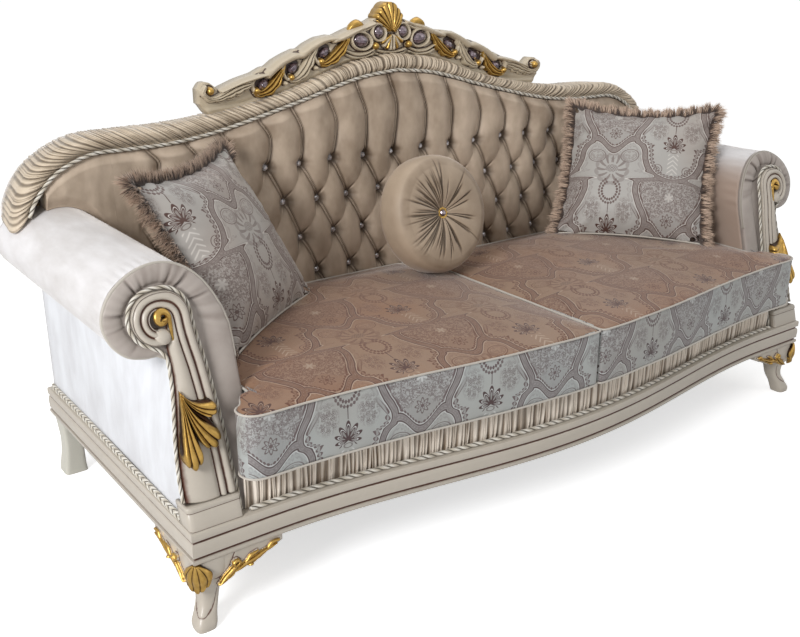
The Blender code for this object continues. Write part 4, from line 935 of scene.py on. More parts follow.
def closed_tube(name, path, radius):
    """Round welt through a closed path."""
    sides = 10
    turns = circle(sides)
    up = np.array((0.0, 0.0, 1.0))
    across = unit(np.cross(np.roll(path, -1, 0) - np.roll(path, 1, 0), up))
    rings = np.array([ring_round(spot, radius, turns, side, up) for spot, side in zip(path, across)])
    faces = sheet_faces(len(path), sides, True)
    last = (len(path) - 1) * sides
    faces += [(last + c, last + (c + 1) % sides, (c + 1) % sides, c) for c in range(sides)]
    return make(name, rings.reshape(-1, 3), faces)


def seat_sink(y):
    """How far the cushion's top lies lower towards its back edge."""
    return 0.037 * smoothstep(y, SEAT_BACK - 0.21, SEAT_BACK)


def seat_ear(x, y):
    """How far the corner in front of the arm reaches back at its top."""
    inner = smoothstep(np.abs(x), 0.886, 0.893) * (1.0 - smoothstep(np.abs(x), 0.912, 0.940))
    return 0.036 * inner * smoothstep(y, -0.475, -0.437)


# Heights of the two seams
SEAMS = {"top": SEAT_TOP - 0.0030, "foot": SEAT_LOW + 0.0058}


def seat_cushion(label, side):
    node = "seat_cushion_" + label
    body = "seat_" + label
    obj = add_object("cushion_" + label, nodes[node].data.copy())
    set_coords(obj, coords(obj) - normals(obj) * 0.0015)
    rim = resample(seat_rim(side, 0.0), 260)
    seams = [np.c_[rim[:, 0], rim[:, 1] + DY, np.full(len(rim), z)] for z in SEAMS.values()]
    swell(obj, 0.0075, 0.007, 4.0, along_seam(np.vstack(seams), 0.0085))
    co = coords(obj)
    # Slack of a cushion that has been sat on: long shallow dips on the top
    top = smoothstep(co[:, 2], SEAT_TOP - 0.004, SEAT_TOP + 0.006)
    dip = wobble(co * (1.0, 1.4, 0.0), 3.2, 2 + side) * 0.0035
    dip += wobble(co * (1.0, 0.5, 0.0), 13.0, 6) * 0.0008
    front = smoothstep(-co[:, 1], 0.36, 0.42) * (1 - top)
    pull = wobble(co * (1.0, 0.0, 0.35), 16.0, 4 + side) * 0.0016
    co = co + np.c_[np.zeros(len(co)), -pull * front, dip * top]
    rise = np.clip((co[:, 2] - SEAT_LOW) / (SEAT_TOP - SEAT_LOW), 0.0, 1.1)
    co[:, 2] -= seat_sink(co[:, 1] - DY) * rise
    co[:, 1] += seat_ear(co[:, 0], co[:, 1] - DY) * np.clip(rise, 0.0, 1.0)
    co[:, 0] = np.where(side * co[:, 0] < 0.0009, side * 0.0009, co[:, 0])
    set_coords(obj, co)
    index = corner_vertices(obj)
    faces = read(obj.data.polygons, "normal")
    per = np.repeat(faces, read(obj.data.polygons, "loop_total", np.int32), axis=0)
    p = co[index]
    upward = per[:, 2] > 0.72
    across = np.abs(per[:, 0]) > np.abs(per[:, 1]) * 1.6
    start = -0.548 if side < 0 else 0.152
    uv = np.where(upward[:, None], np.c_[p[:, 0] - start, p[:, 1] - DY + 0.470],
                  np.c_[p[:, 0] + (0.345 if side < 0 else -0.205), p[:, 2] - 0.395])
    around = np.c_[side * (p[:, 1] + 0.10), p[:, 2] - 0.395]
    uv = np.where((across & ~upward)[:, None], around, uv)
    set_pattern(obj, uv)
    dress(obj, ("seat", "band"), node, body=body)
    # Faces that do not look up take the band's grey copy of the damask and the top keeps the warm one:
    # painted reflection and painted shade
    paint(obj, faces[:, 2] <= 0.72)
    for level, z in SEAMS.items():
        rim = seat_rim(side, -0.0012)
        run = run_length(rim)
        z_line = z + 0.0009 * wobble_line(run, 9.0, 3)
        if level == "top":
            z_line = z_line - seat_sink(rim[:, 1])
            rim[:, 1] += seat_ear(rim[:, 0], rim[:, 1])
        welt = closed_tube("welt_" + level + "_" + label, np.c_[rim, z_line], 0.0025)
        pressed = coords(welt)
        pressed[:, 0] = side * np.maximum(side * pressed[:, 0], 0.0004)
        set_coords(welt, pressed)
        darken(welt, np.full(len(welt.data.vertices), 0.3))
        attribute(welt, "ply", np.full(len(welt.data.vertices), 0.2))
        dress(welt, "welt", body=body)


# Padded back

def tuft_places(x, z):
    """Columns and rows of the buttons, as a hand would set them."""
    dx = 0.0035 * np.sin(x * 23.0 + z * 17.0)
    dz = 0.0025 * np.sin(x * 19.0 - z * 29.0 + 1.0)
    return (x + 0.0076 + dx) / (1.008 * PITCH), (BUTTON_LOW + 3 * STEP - z - dz) / STEP


def tuft_relief(x, z, high):
    """Puff height and depth of shade over the padded face."""
    a, b = tuft_places(x, z)
    up = np.clip(-b * STEP / np.maximum(high - BUTTON_LOW - 3 * STEP, 0.02), 0.0, 1.0)
    sway = 0.011 * np.sin(np.pi * up) - 0.020 * smoothstep(up, 0.50, 1.0)
    lane_at = a - sway / PITCH
    s, t = a + b / 2, a - b / 2
    sb, tb = s - np.round(s), t - np.round(t)
    lane = lane_at - np.round(lane_at)
    upper = smoothstep(-b, 0.0, 0.22)
    link = 0.50 * smoothstep(np.abs(tb), 0.10, 0.42)
    across = link + (1 - link) * np.abs(np.sin(np.pi * s))
    cell = np.sqrt(across * np.abs(np.sin(np.pi * t)))
    channel = np.abs(np.sin(np.pi * lane_at)) ** 0.62
    dome = cell * (1 - upper) + channel * upper
    # Folded pleats run down from each button to the right, and up from the top row
    fold = np.where(b > 0, tb / 10.26, lane * PITCH)
    ends = np.where(b > 0, smoothstep(np.abs(sb), 0.03, 0.14), smoothstep(-b, 0.03, 0.14))
    pleat = (ridge(fold, 0.0010, 0.0016) - 0.85 * ridge(fold, 0.0042, 0.0016)
             - 0.55 * ridge(fold, -0.0030, 0.0020)) * ends
    tuck_line = sb / 10.26
    tuck_run = smoothstep(np.abs(tb), 0.03, 0.09) * (1 - smoothstep(np.abs(tb), 0.16, 0.36)) * (b > 0)
    tuck = (ridge(tuck_line, 0.0012, 0.0017) - 0.8 * ridge(tuck_line, -0.0026, 0.0022)) * tuck_run
    near = np.hypot((sb + tb) / 2 * PITCH, (sb - tb) * STEP)
    rows = (b > -0.35) & (b < 3.35)
    pit = ridge(near, 0.0, 0.0155) * rows
    spin = np.arctan2(sb - tb, (sb + tb) / 2)
    fan = np.sin(spin * 7.0 + np.round(s) * 2.3) * ridge(near, 0.0, 0.026) * rows
    height = 0.031 * dome + 0.0030 * pleat + 0.0024 * tuck - 0.0135 * pit + 0.0012 * fan
    # Painted shade in the pits and fold hollows, painted highlight on the pleat and tuck ridges
    shade = 0.40 + 0.50 * np.clip(-pleat, 0, 1) + 0.40 * np.clip(-tuck, 0, 1) + 0.55 * pit
    shade -= 0.34 * np.clip(pleat, 0, 1) + 0.30 * np.clip(tuck, 0, 1) * (1 - pit)
    shade += 0.16 * (1 - dome) ** 2
    return height, shade, dome


def tufted_back():
    inner = back_path(INNER_PATH, 200)
    cols = 821
    xs = np.linspace(-1.064, 1.064, cols)
    rows = 226
    roll = arm_section(120)
    top_part = roll[:int(np.argmax(roll[:, 0] > 1.09))]
    high = np.interp(np.abs(xs), inner[:, 0], inner[:, 1]) - CORD_R - 0.001
    low = np.where(np.abs(xs) < ARM_INNER - 0.002, 0.40,
                   np.interp(np.abs(xs), top_part[:, 0], top_part[:, 1]) + 0.001)
    low = np.minimum(low, high - 0.002)
    share = np.linspace(0.0, 1.0, rows)
    X = np.repeat(xs[None, :], rows, axis=0)
    Z = low + (high - low) * share[:, None]
    height, shade, dome = tuft_relief(X, Z, high)
    inside = smoothstep(7.75 * PITCH - np.abs(X), 0.0, 0.6 * PITCH)
    free = 0.40 + 0.60 * smoothstep(high - Z, 0.0, 0.026)
    beside = smoothstep(Z - low, 0.0, 0.030)
    soft = wobble_grid(X, Z * 0.45, 34.0, 3) * 0.0018 * smoothstep(dome, 0.2, 0.7)
    depth = inside * (height + soft) + (1 - inside) * (0.017 + soft)
    Y = TUFT_FACE + 0.0155 - np.clip(depth, -0.014, 0.036) * free * (0.35 + 0.65 * beside)
    Y = np.minimum(Y, TUFT_FACE + 0.031)
    front = np.stack([X, Y, Z], axis=2)
    back = np.stack([X, np.full_like(X, TUFT_BACK - 0.001), Z], axis=2)
    obj = slab_grid("back_tufting", front, back)
    hollow = np.clip(0.42 + (shade - 0.42) * inside, 0, 1)
    darken(obj, np.r_[hollow.ravel(), np.full(X.size, 0.4)])
    dress(obj, "tuft", "tufted_back")
    buttons = []
    for row in range(4):
        for k in range(-9, 10):
            column = k + 0.5 * (row % 2)
            x, z = column * PITCH, BUTTON_LOW + STEP * (3 - row)
            for _ in range(6):
                a, b = tuft_places(x, z)
                x, z = x + float(column - a) * PITCH, z - float(row - b) * STEP
            top = float(np.interp(abs(x), inner[:, 0], inner[:, 1]))
            if abs(x) < 7.4 * PITCH and z < top - 0.03:
                buttons.append((x, z))
    crystal_buttons(buttons)


def crystal_buttons(places):
    """Faceted crystals in metal cups, one in the bottom of each tuft."""
    points, faces = [], []
    sides = 10
    levels = ((0.0092, 0.000), (0.0092, 0.0060), (0.0082, 0.0075), (0.0050, 0.0108), (0.0, 0.0112))
    base_y = TUFT_FACE + 0.0270
    for x, z in places:
        base = len(points)
        for radius, rise in levels[:-1]:
            for k in range(sides):
                turn = 2 * math.pi * k / sides
                points.append((x + radius * math.cos(turn), base_y - rise, z + radius * math.sin(turn)))
        points.append((x, base_y - levels[-1][1], z))
        tip = len(points) - 1
        faces += sheet_faces(len(levels) - 1, sides, True, base)
        last = base + (len(levels) - 2) * sides
        faces += [(last + k, last + (k + 1) % sides, tip) for k in range(sides)]
        faces.append(tuple(base + k for k in range(sides - 1, -1, -1)))
    obj = make("crystal_buttons", points, faces, smooth=False)
    dress(obj, "button")


def ruched_border():
    """Gathered roll: uneven pleats square to the edge, higher in front of the crest."""
    count = 2400
    inner = resample(mirrored(back_path(INNER_PATH, 240)), count)
    outer = resample(mirrored(back_path(OUTER_PATH, 240)), count)
    front = TUFT_FACE + 0.0105
    section = curve([(0.0, 0.016), (0.01, 0.004), (0.05, -0.001), (0.21, -0.0035), (0.36, -0.0085),
                     (0.50, -0.0105), (0.66, -0.0100), (0.82, -0.0060), (0.94, 0.004), (1.0, 0.018),
                     (1.0, 0.032)], 26)
    run = run_length((inner + outer) / 2)
    folds = gathers(run, section[:, 0] - 0.5, 0.0085, 4)
    fine = wobble_line(run, 230.0, 7)
    away = unit(outer - inner)
    behind = 1.0 - smoothstep(np.abs(outer[:, 0]), 0.63, 0.74)
    grid, shade = [], []
    for (t, y), fold_row in zip(section, folds):
        full = min(1.0, 0.30 + 3.0 * t)
        pleat = (fold_row - 0.35) * 0.0056 * full + fine * 0.0010
        last = float(smoothstep(t, 0.80, 1.0))
        extra = 0.0095 * behind * float(smoothstep(t, 0.50, 0.95)) + pleat * last
        spot = inner + (outer - inner) * t + away * extra[:, None]
        grid.append(np.c_[spot[:, 0], front + y - pleat * (1.0 - 0.8 * last), spot[:, 1]])
        # Painted shade between the gathers and painted highlight on their crests
        shade.append(0.80 - 0.85 * fold_row if t > 0.02 else np.full(count, 0.6))
    top_pleat = (folds[-1] - 0.35) * 0.0058
    for y, drop in ((0.352, 0.002), (0.390, 0.007), (ARM_BACK - 0.001, 0.014)):
        spot = outer + away * (top_pleat * 0.8 - drop)[:, None]
        grid.append(np.c_[spot[:, 0], np.full(count, y), spot[:, 1]])
        shade.append(0.80 - 0.85 * folds[-1])
    grid.append(np.c_[inner[:, 0], np.full(count, ARM_BACK - 0.001), inner[:, 1]])
    shade.append(np.full(count, 0.5))
    rings = np.array(grid).transpose(1, 0, 2)
    obj = loft("border_ruching", rings)
    darken(obj, np.clip(np.array(shade).T.ravel(), 0, 1))
    dress(obj, "ruche", "ruched_border")
    line = mirrored(back_path(INNER_PATH, 160))
    path = np.c_[line[:, 0], np.full(len(line), TUFT_FACE + 0.0030), line[:, 1]]
    rope = cord("border_rope", path, 0.0052, lay=0.022)
    dress(rope, "cord", "border_cord")


def outside_back():
    """Padded cloth over the back of the sofa, drawn tight to its edges."""
    roll = arm_section(300)
    outer = back_path(OUTER_PATH, 400)
    half_width = float(outer[:, 0].max()) - 0.012
    cols, rows = 241, 90
    xs = np.linspace(-half_width, half_width, cols)
    high = np.interp(np.abs(xs), outer[:, 0], outer[:, 1]) - 0.013
    outside = roll[int(np.argmax(roll[:, 0])):]
    order = np.argsort(outside[:, 0])
    under = np.interp(np.abs(xs), outside[order][:, 0], outside[order][:, 1])
    low = np.where(np.abs(xs) < ARM_OUTER - 0.003, RAIL_TOP + 0.0006, under + 0.002)
    low = np.minimum(low, high - 0.004)
    share = np.linspace(0.0, 1.0, rows)[:, None]
    Z = low + (high - low) * share
    X = np.repeat(xs[None, :], rows, axis=0)
    edge = np.minimum(smoothstep(Z - low, 0.0, 0.035), smoothstep(high - Z, 0.0, 0.035))
    edge = np.minimum(edge, smoothstep(half_width - np.abs(X), 0.0, 0.035))
    cloud = wobble_grid(X, Z, 6.0, 51)
    back = np.stack([X, 0.4455 + 0.0060 * edge + 0.0010 * cloud * edge, Z], axis=2)
    front = np.stack([X, np.full_like(X, ARM_BACK + 0.0006), Z], axis=2)
    obj = slab_grid("outside_padding", front, back)
    darken(obj, np.r_[np.full(X.size, 0.4), (0.55 - 0.15 * edge).ravel()])
    dress(obj, "arm", "outside_back")


# Arms

def arm_section(count=130):
    return curve([(ARM_INNER + t * ARM_THICK, ARM_TOP - d) for t, d in ARM_ROLL], count)


FACING_Z = np.array([RAIL_TOP + s * (EYE_Z - RAIL_TOP) for s in
                     (-0.02, 0.215, 0.401, 0.541, 0.681, 0.774, 0.855, 0.930)])
FACING_IN = np.array((-0.0045, -0.0045, 0.002, 0.012, 0.020, 0.022, 0.020, 0.026))
FACING_ACROSS = ((0.215, 0.376), (0.401, 0.394), (0.541, 0.418), (0.681, 0.450), (0.762, 0.471),
                 (0.825, 0.494), (0.890, 0.518), (0.953, 0.535))


EYE = np.array((EYE_X, EYE_Z))


def facing_edge(z):
    """Outer side of an arm's front at a height."""
    return ARM_OUTER - np.interp(z, FACING_Z, FACING_IN)


def arm_roll(label, side):
    roll = arm_section()
    low = RAIL_TOP + 0.0005
    inner = np.c_[np.full(8, ARM_INNER), np.linspace(low, roll[0, 1], 9)[:-1]]
    down = np.linspace(roll[-1, 1], low, 24)[1:]
    fronts = np.r_[inner, roll, np.c_[facing_edge(down) - 0.001, down]]
    backs = np.r_[inner, roll, np.c_[np.full(len(down), ARM_OUTER), down]]
    rings = []
    stations = np.r_[np.linspace(0.0, 0.06, 6)[:-1], np.linspace(0.06, 1.0, 80)]
    for v in stations:
        blend = smoothstep(v, 0.0, 0.45)
        ring = []
        for (xf, zf), (xb, zb) in zip(fronts, backs):
            x = xf + (xb - xf) * blend
            z = zf + (zb - zf) * blend
            y0 = lean(z) + 0.040
            ring.append((side * x, y0 + (ARM_BACK - 0.0005 - y0) * v, z))
        rings.append(ring)
    obj = loft("arm_velvet_" + label, rings)
    co = coords(obj)
    no = normals(obj)
    upper = smoothstep(co[:, 2], 0.56, 0.66)
    slack = wobble(co * (1.0, 0.5, 1.0), 6.0, 5 + side) * 0.0024
    slack += wobble(co * (1.0, 0.35, 1.0), 22.0, 9) * 0.0009
    ends = smoothstep(co[:, 1], lean(0.6) + DY + 0.05, -0.28) * smoothstep(0.50 - co[:, 1], 0.0, 0.1)
    near_front = ridge(co[:, 1] - lean(co[:, 2]) - DY, 0.060, 0.03)
    gather = np.sin(np.arctan2(co[:, 2] - EYE_Z, np.abs(co[:, 0]) - EYE_X) * 34.0) * 0.0012 * near_front
    lower = (1 - upper) * smoothstep(co[:, 2], 0.26, 0.32)
    panel = wobble(co * (1.0, 1.0, 0.5), 7.0, 15 + side) * 0.0010 * lower
    co = co + no * ((slack * ends + gather) * upper + panel)[:, None]
    co = co - no * 0.0004
    set_coords(obj, co)
    # Painted shade on the arm's inner side, which faces the seat
    darken(obj, 1.0 - smoothstep(np.abs(co[:, 0]), ARM_INNER + 0.015, ARM_INNER + 0.095))
    dress(obj, ("arm_shaded_inside", "panel"), "arm_roll_" + label)
    centres = read(obj.data.polygons, "center")
    # The outer lower panel takes the paler lit copy of the velvet: painted light
    paint(obj, (np.abs(centres[:, 0]) > 1.02) & (centres[:, 2] < ARM_TOP - 0.175))


def arm_pad(label, side):
    """Front of the arm: cloth drawn from the welt into the carved scroll in pleats."""
    roll = arm_section()
    low = RAIL_TOP + 0.0005
    inner = np.c_[np.full(26, ARM_INNER), np.linspace(low, roll[0, 1], 27)[:-1]]
    down = np.linspace(roll[-1, 1], low, 30)[1:]
    outline = np.r_[inner, roll, np.c_[facing_edge(down) - 0.001, down]]
    outline = resample(outline, 520)
    run = run_length(outline)
    over = smoothstep(outline[:, 1], 0.58, 0.66)
    deep = np.zeros(len(run))
    for k, place in enumerate(np.linspace(0.36, 0.93, 14)):
        at = run[-1] * (place + 0.012 * math.sin(k * 2.7))
        deep += (0.75 + 0.35 * math.sin(k * 1.9)) * np.exp(-((run - at) / (0.0040 + 0.0014 * (k % 2))) ** 2)
    fine = wobble_line(run, 70.0, 12 + side)
    rings = [np.c_[outline[:, 0], lean(outline[:, 1]) + 0.0395, outline[:, 1]]]
    rings.append(np.c_[outline[:, 0], lean(outline[:, 1]) + 0.0300, outline[:, 1]])
    shades = [np.full(len(run), 0.4)] * 2
    # The cloth runs in towards the scroll's eye above, and behind the facing's edge below
    mixed = smoothstep(outline[:, 1], 0.50, 0.62)[:, None]
    beside = np.c_[outline[:, 0] + (0.972 - outline[:, 0]) * 0.9, outline[:, 1]]
    target = beside * (1 - mixed) + (EYE + (outline - EYE) * 0.60) * mixed
    for share in np.linspace(0.0, 1.0, 16):
        point = outline + (target - outline) * share
        dome = math.sin(math.pi * min(1.0, 0.12 + share * 0.95)) ** 0.6
        crease = deep * over * (0.25 + 0.75 * share) * 0.0066 * min(1.0, share * 5 + 0.1)
        rise = 0.0085 * dome + 0.0009 * fine * over - crease
        front = np.minimum(lean(point[:, 1]) + 0.0285 - rise, lean(point[:, 1]) + 0.0300)
        rings.append(np.c_[point[:, 0], front, point[:, 1]])
        # Painted shade in the creases of the pleats
        shades.append(np.clip(0.34 + 0.6 * deep * over * (0.3 + 0.7 * share) - 0.2 * fine * over, 0, 1))
    rings = np.array(rings) * (side, 1, 1)
    obj = loft("arm_front_" + label, rings)
    darken(obj, np.array(shades).ravel())
    dress(obj, "pad", "arm_pad_" + label)
    part = outline[outline[:, 1] > 0.56]
    welt = [(side * x, lean(z) + 0.0278, z) for x, z in part]
    piping = cord("arm_piping_" + label, welt, 0.0042, lay=10.0, sides=10, depth=0.0, step=0.004)
    dress(piping, "welt")


def apron_gathers():
    count = 2200
    xs = np.linspace(-0.940, 0.940, count)
    low, top = RAIL_TOP + 0.0005, SEAT_LOW - 0.0005
    shares = np.linspace(0.0, 1.0, 22)
    folds = gathers(xs, shares - 0.5, 0.0105, 31)
    fine = wobble_line(xs, 220.0, 38)
    base = rail_front(xs) + 0.0215
    front = []
    for t, fold_row in zip(shares, folds):
        full = 0.45 + 0.55 * math.sin(math.pi * t) ** 0.5
        front.append(np.c_[xs, base + 0.0075 - fold_row * 0.0080 * full - 0.0006 * fine,
                           np.full(count, low + (top - low) * t)])
    front = np.array(front)
    back = front.copy()
    back[:, :, 1] = (base + 0.0098)[None, :]
    obj = slab_grid("apron_gathers", front, back)
    # Painted shade between the gathers and painted highlight on their crests
    shade = np.clip(0.80 - 0.85 * folds, 0, 1)
    darken(obj, np.r_[shade.ravel(), np.full(shade.size, 0.5)])
    dress(obj, "apron", "apron")
    line = np.linspace(-0.935, 0.935, 200)
    path = np.c_[line, rail_front(line) + 0.0215 - CORD_R - 0.0012, np.full(200, RAIL_TOP + 0.0068)]
    rope = cord("apron_rope", path, 0.0056, lay=0.024)
    dress(rope, "cord", "apron_cord")


# Throw pillows

def pillow_frame(corner, heading, tilt):
    heading, tilt = math.radians(heading), math.radians(tilt)
    along = np.array((math.cos(heading), math.sin(heading), 0.0))
    away = np.array((-math.sin(heading), math.cos(heading), 0.0))
    up = away * math.sin(tilt) + np.array((0.0, 0.0, math.cos(tilt)))
    out = np.cross(along, up)
    return np.array((corner[0], corner[1], 0.0)), along, up, out


# How far the middle of a pillow's top edge and of its sides is drawn in
TOP_DIP = 0.024
SIDE_DIP = 0.008


def square_pillow(node, body, corner, heading, place, fringed):
    """Down pillow: swollen middle, soft puckered edges, brush fringe on some sides."""
    width, height, tilt = 0.470, 0.456, 31.5
    obj = add_object("cushion_" + node, nodes[node].data.copy())
    set_coords(obj, coords(obj) - normals(obj) * 0.001)
    base, along, up, out = pillow_frame(corner, heading, tilt)
    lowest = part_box(node)[0][2]
    # Rim line of the pillow, read from the solid's drawing
    line = np.linspace(-1.0, 1.0, 61)
    sides = {
        "left": [(-1.0, t) for t in line], "right": [(1.0, t) for t in line],
        "top": [(t, 1.0) for t in line], "foot": [(t, -1.0) for t in line],
    }
    paths = {}
    for key, pairs in sides.items():
        path = []
        for u, v in pairs:
            pinch_a = 1 - 0.05 * (1 - v * v)
            pinch_b = 1 - 0.05 * (1 - u * u)
            spot = base + along * (width / 2 * (1 + u * pinch_a)) + up * (height / 2 * (1 + v * pinch_b))
            spot = spot - up * TOP_DIP * (1 - u * u) * float(smoothstep(v, 0.1, 1.0))
            inward = along * math.copysign(SIDE_DIP, u) * (1 - v * v) * float(smoothstep(abs(u), 0.1, 1.0))
            path.append(spot - inward)
        paths[key] = np.array(path)
    low_point = min(path[:, 2].min() for path in paths.values()) - 0.002 * abs(out[2])
    raise_by = np.array((0.0, 0.0, lowest - low_point))
    rim = np.vstack([path + raise_by + (0.0, DY, 0.0) for path in paths.values()])
    swell(obj, 0.0055, 0.012, 5.0, along_seam(rim, 0.012))
    co = coords(obj)
    rel = co - (0.0, DY, 0.0) - base
    a = rel @ along
    b = rel @ up
    mid = (a.max() + a.min()) / 2, (b.max() + b.min()) / 2
    a = (a - mid[0]) / (width / 2)
    b = (b - mid[1]) / (height / 2)
    edge = np.maximum(np.abs(a), np.abs(b))
    rim = smoothstep(edge, 0.55, 0.95)
    crumple = wobble(co, 9.0, 21) * 0.0042 * (1 - rim * 0.5)
    radial = np.arctan2(b, a)
    pucker = np.sin(radial * 26.0 + 2.0 * np.sin(radial * 5.0)) * 0.0016 * rim
    corner_fold = np.sin((np.abs(a) - np.abs(b)) * 22.0) * 0.0030
    corner_fold *= smoothstep(np.abs(a) * np.abs(b), 0.30, 0.7)
    no = normals(obj)
    co = co + no * (crumple + pucker + corner_fold)[:, None]
    co = co - up * (TOP_DIP * (1 - np.clip(a, -1, 1) ** 2) * smoothstep(b, 0.1, 1.0))[:, None]
    inward = np.sign(a) * SIDE_DIP * (1 - np.clip(b, -1, 1) ** 2) * smoothstep(np.abs(a), 0.1, 1.0)
    co = co - along * inward[:, None]
    co[:, 2] = np.maximum(co[:, 2], lowest)
    set_coords(obj, co)
    index = corner_vertices(obj)
    rel = coords(obj)[index] - (0.0, DY, 0.0) - base
    uv = np.c_[rel @ along - place[0], rel @ up - mid[1] - height / 2 - place[1]]
    set_pattern(obj, uv)
    dress(obj, "pillow", node, body=body)
    down = paths["right"][::-1][1:]
    hem = np.vstack([paths["left"], paths["top"][1:], down[:int(fringed * len(down))]]) + raise_by
    centre = base + along * width / 2 + up * height / 2 + raise_by
    brush_fringe("fringe_" + node, hem, centre, out, body)
    foot = paths["foot"] + raise_by
    piping = cord("piping_" + node, foot, 0.0032, lay=10.0, sides=8, depth=0.0, step=0.005)
    dress(piping, "welt", body=body)


def softened(rows, reach):
    """Running mean of a row of directions, so that threads fan out round a corner."""
    wide = np.pad(rows, ((reach, reach), (0, 0)), mode="edge")
    mean = np.stack([np.convolve(wide[:, k], np.ones(2 * reach + 1), mode="valid") for k in range(3)], axis=1)
    return unit(mean)


def brush_fringe(name, hem, centre, out, body):
    """Cut threads standing out from a pillow's edge, in soft clumps."""
    points, faces, hollow = [], [], []
    rng = np.random.default_rng(len(name) * 7)
    hem = resample(hem, int(run_length(hem)[-1] / 0.00110))
    along = softened(np.gradient(hem, axis=0), 2)
    ways = hem - centre
    ways = ways - along * ((ways * along).sum(axis=1) * 0.80)[:, None]
    ways = softened(ways - out * (ways @ out)[:, None], 24)
    along = softened(along, 24)
    for i, (spot, outward) in enumerate(zip(hem, ways)):
        clump = 0.22 * math.sin(i * 0.31) + 0.14 * math.sin(i * 0.117 + 2.0)
        ruffle = 1.0 + 0.10 * math.sin(i * 0.155) + 0.06 * math.sin(i * 0.39 + 1.0)
        for layer in (-2, -1, 0, 1, 2):
            length = 0.044 * ruffle * (1 + 0.09 * rng.standard_normal() - 0.03 * abs(layer))
            spread = along[i] * (clump + 0.16 * rng.standard_normal())
            spread = spread + out * (0.21 * layer + 0.12 * rng.standard_normal())
            tip_way = outward + spread
            tip_way /= np.linalg.norm(tip_way)
            start = spot + out * layer * 0.0018 - outward * 0.011
            bend = np.array((0.0, 0.0, -0.10)) * length
            mid = start + tip_way * length * 0.55 + bend * 0.3
            tip = start + tip_way * length + bend
            wide = along[i] * 0.00105
            deep = np.cross(tip_way, along[i])
            deep = deep / np.linalg.norm(deep) * 0.0008
            base = len(points)
            points += [start - wide, start + wide, start + deep]
            points += [mid - wide * 0.9, mid + wide * 0.9, mid + deep * 0.9, tip]
            for k, m in ((0, 1), (1, 2), (2, 0)):
                faces.append((base + k, base + m, base + 3 + m, base + 3 + k))
                faces.append((base + 3 + k, base + 3 + m, base + 6))
            faces.append((base + 2, base + 1, base))
            # Painted shade at the roots and painted light on the tips; the clumps vary the tone
            tone = float(np.clip(0.45 + 0.25 * clump / 0.3 + 0.18 * rng.standard_normal(), 0, 1))
            hollow += [0.0, 0.0, 0.0, tone, tone, tone, min(1.0, tone + 0.3)]
    obj = make(name, points, faces, smooth=False, out=False)
    darken(obj, hollow)
    dress(obj, "fringe", body=body)


def round_pillow():
    """Drum pillow: velvet drawn in fine gathers to a jewel at its middle."""
    radius, thick = 0.168, 0.124
    heading, tilt = math.radians(3.6), math.radians(15)
    level = math.cos(tilt)
    facing = np.array((math.sin(heading) * level, -math.cos(heading) * level, math.sin(tilt)))
    across = np.cross((0.0, 0.0, 1.0), facing)
    across /= np.linalg.norm(across)
    upward = np.cross(facing, across)
    low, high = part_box("round_pillow")
    centre = np.array([(low[k] + high[k]) / 2 for k in range(3)]) - (0.0, DY, -0.007)
    profile = curve([(0.0, 0.29), (0.05, 0.31), (0.16, 0.40), (0.35, 0.475), (0.58, 0.50), (0.78, 0.475),
                     (0.91, 0.40), (0.985, 0.24), (1.0, 0.0), (0.985, -0.24), (0.91, -0.40), (0.78, -0.475),
                     (0.58, -0.50), (0.35, -0.475), (0.16, -0.42), (0.0, -0.38)], 90)
    count = 540
    turns = circle(count)
    rng = np.random.default_rng(3)
    many = 74
    places = np.sort(rng.uniform(0, 2 * np.pi, many) * 0.5 + circle(many) * 0.5)
    reach_to = rng.uniform(0.55, 1.05, many)
    bend = rng.uniform(-0.10, 0.10, many)
    wide = rng.uniform(0.014, 0.030, many)
    tall = rng.uniform(0.4, 1.0, many)
    rings, shades = [], []
    for r, d in profile:
        pleats = np.zeros(count)
        for k, at in enumerate(places):
            away = np.angle(np.exp(1j * (turns - at - bend[k] * r)))
            fade = 1.0 - float(smoothstep(r, reach_to[k] * 0.7, reach_to[k]))
            pleats = np.maximum(pleats, tall[k] * fade * np.exp(-(away / wide[k]) ** 2))
        strength = min(1.0, 0.25 + 1.4 * (1 - r)) * min(1.0, r * 9) * (1.0 if d > 0 else 0.5)
        body = 1.0 + 0.010 * np.sin(turns * 3 + 1.0) * r
        puff = 0.0020 * np.sin(turns * 11 + 3.0 * r) * min(1.0, r * 3) * (1 - r)
        offset = d * thick + np.sign(d if d else 1.0) * (puff - pleats * 0.0066 * strength)
        reach = radius * r * body
        middle = centre + facing * offset[:, None]
        rings.append(ring_round(middle, reach[:, None], turns, across, upward))
        # Painted highlight on the rim band and between the pleats on the face, painted shade in the pleats
        side_tone = 0.40 - 0.24 * float(smoothstep(r, 0.90, 0.99))
        shades.append(np.clip(side_tone + 0.75 * pleats * strength - 0.10 * (1 - pleats) * (r < 0.8), 0, 1))
    rings = np.array(rings)
    rings[:, :, 2] = np.maximum(rings[:, :, 2], low[2] + 0.0004)
    obj = loft("cushion_round", rings[1:-1])
    darken(obj, np.array(shades)[1:-1].ravel())
    dress(obj, "drum", "round_pillow", body="middle_pillow")
    hub = centre + facing * (thick * 0.30)
    jewel(hub, facing, across, upward)


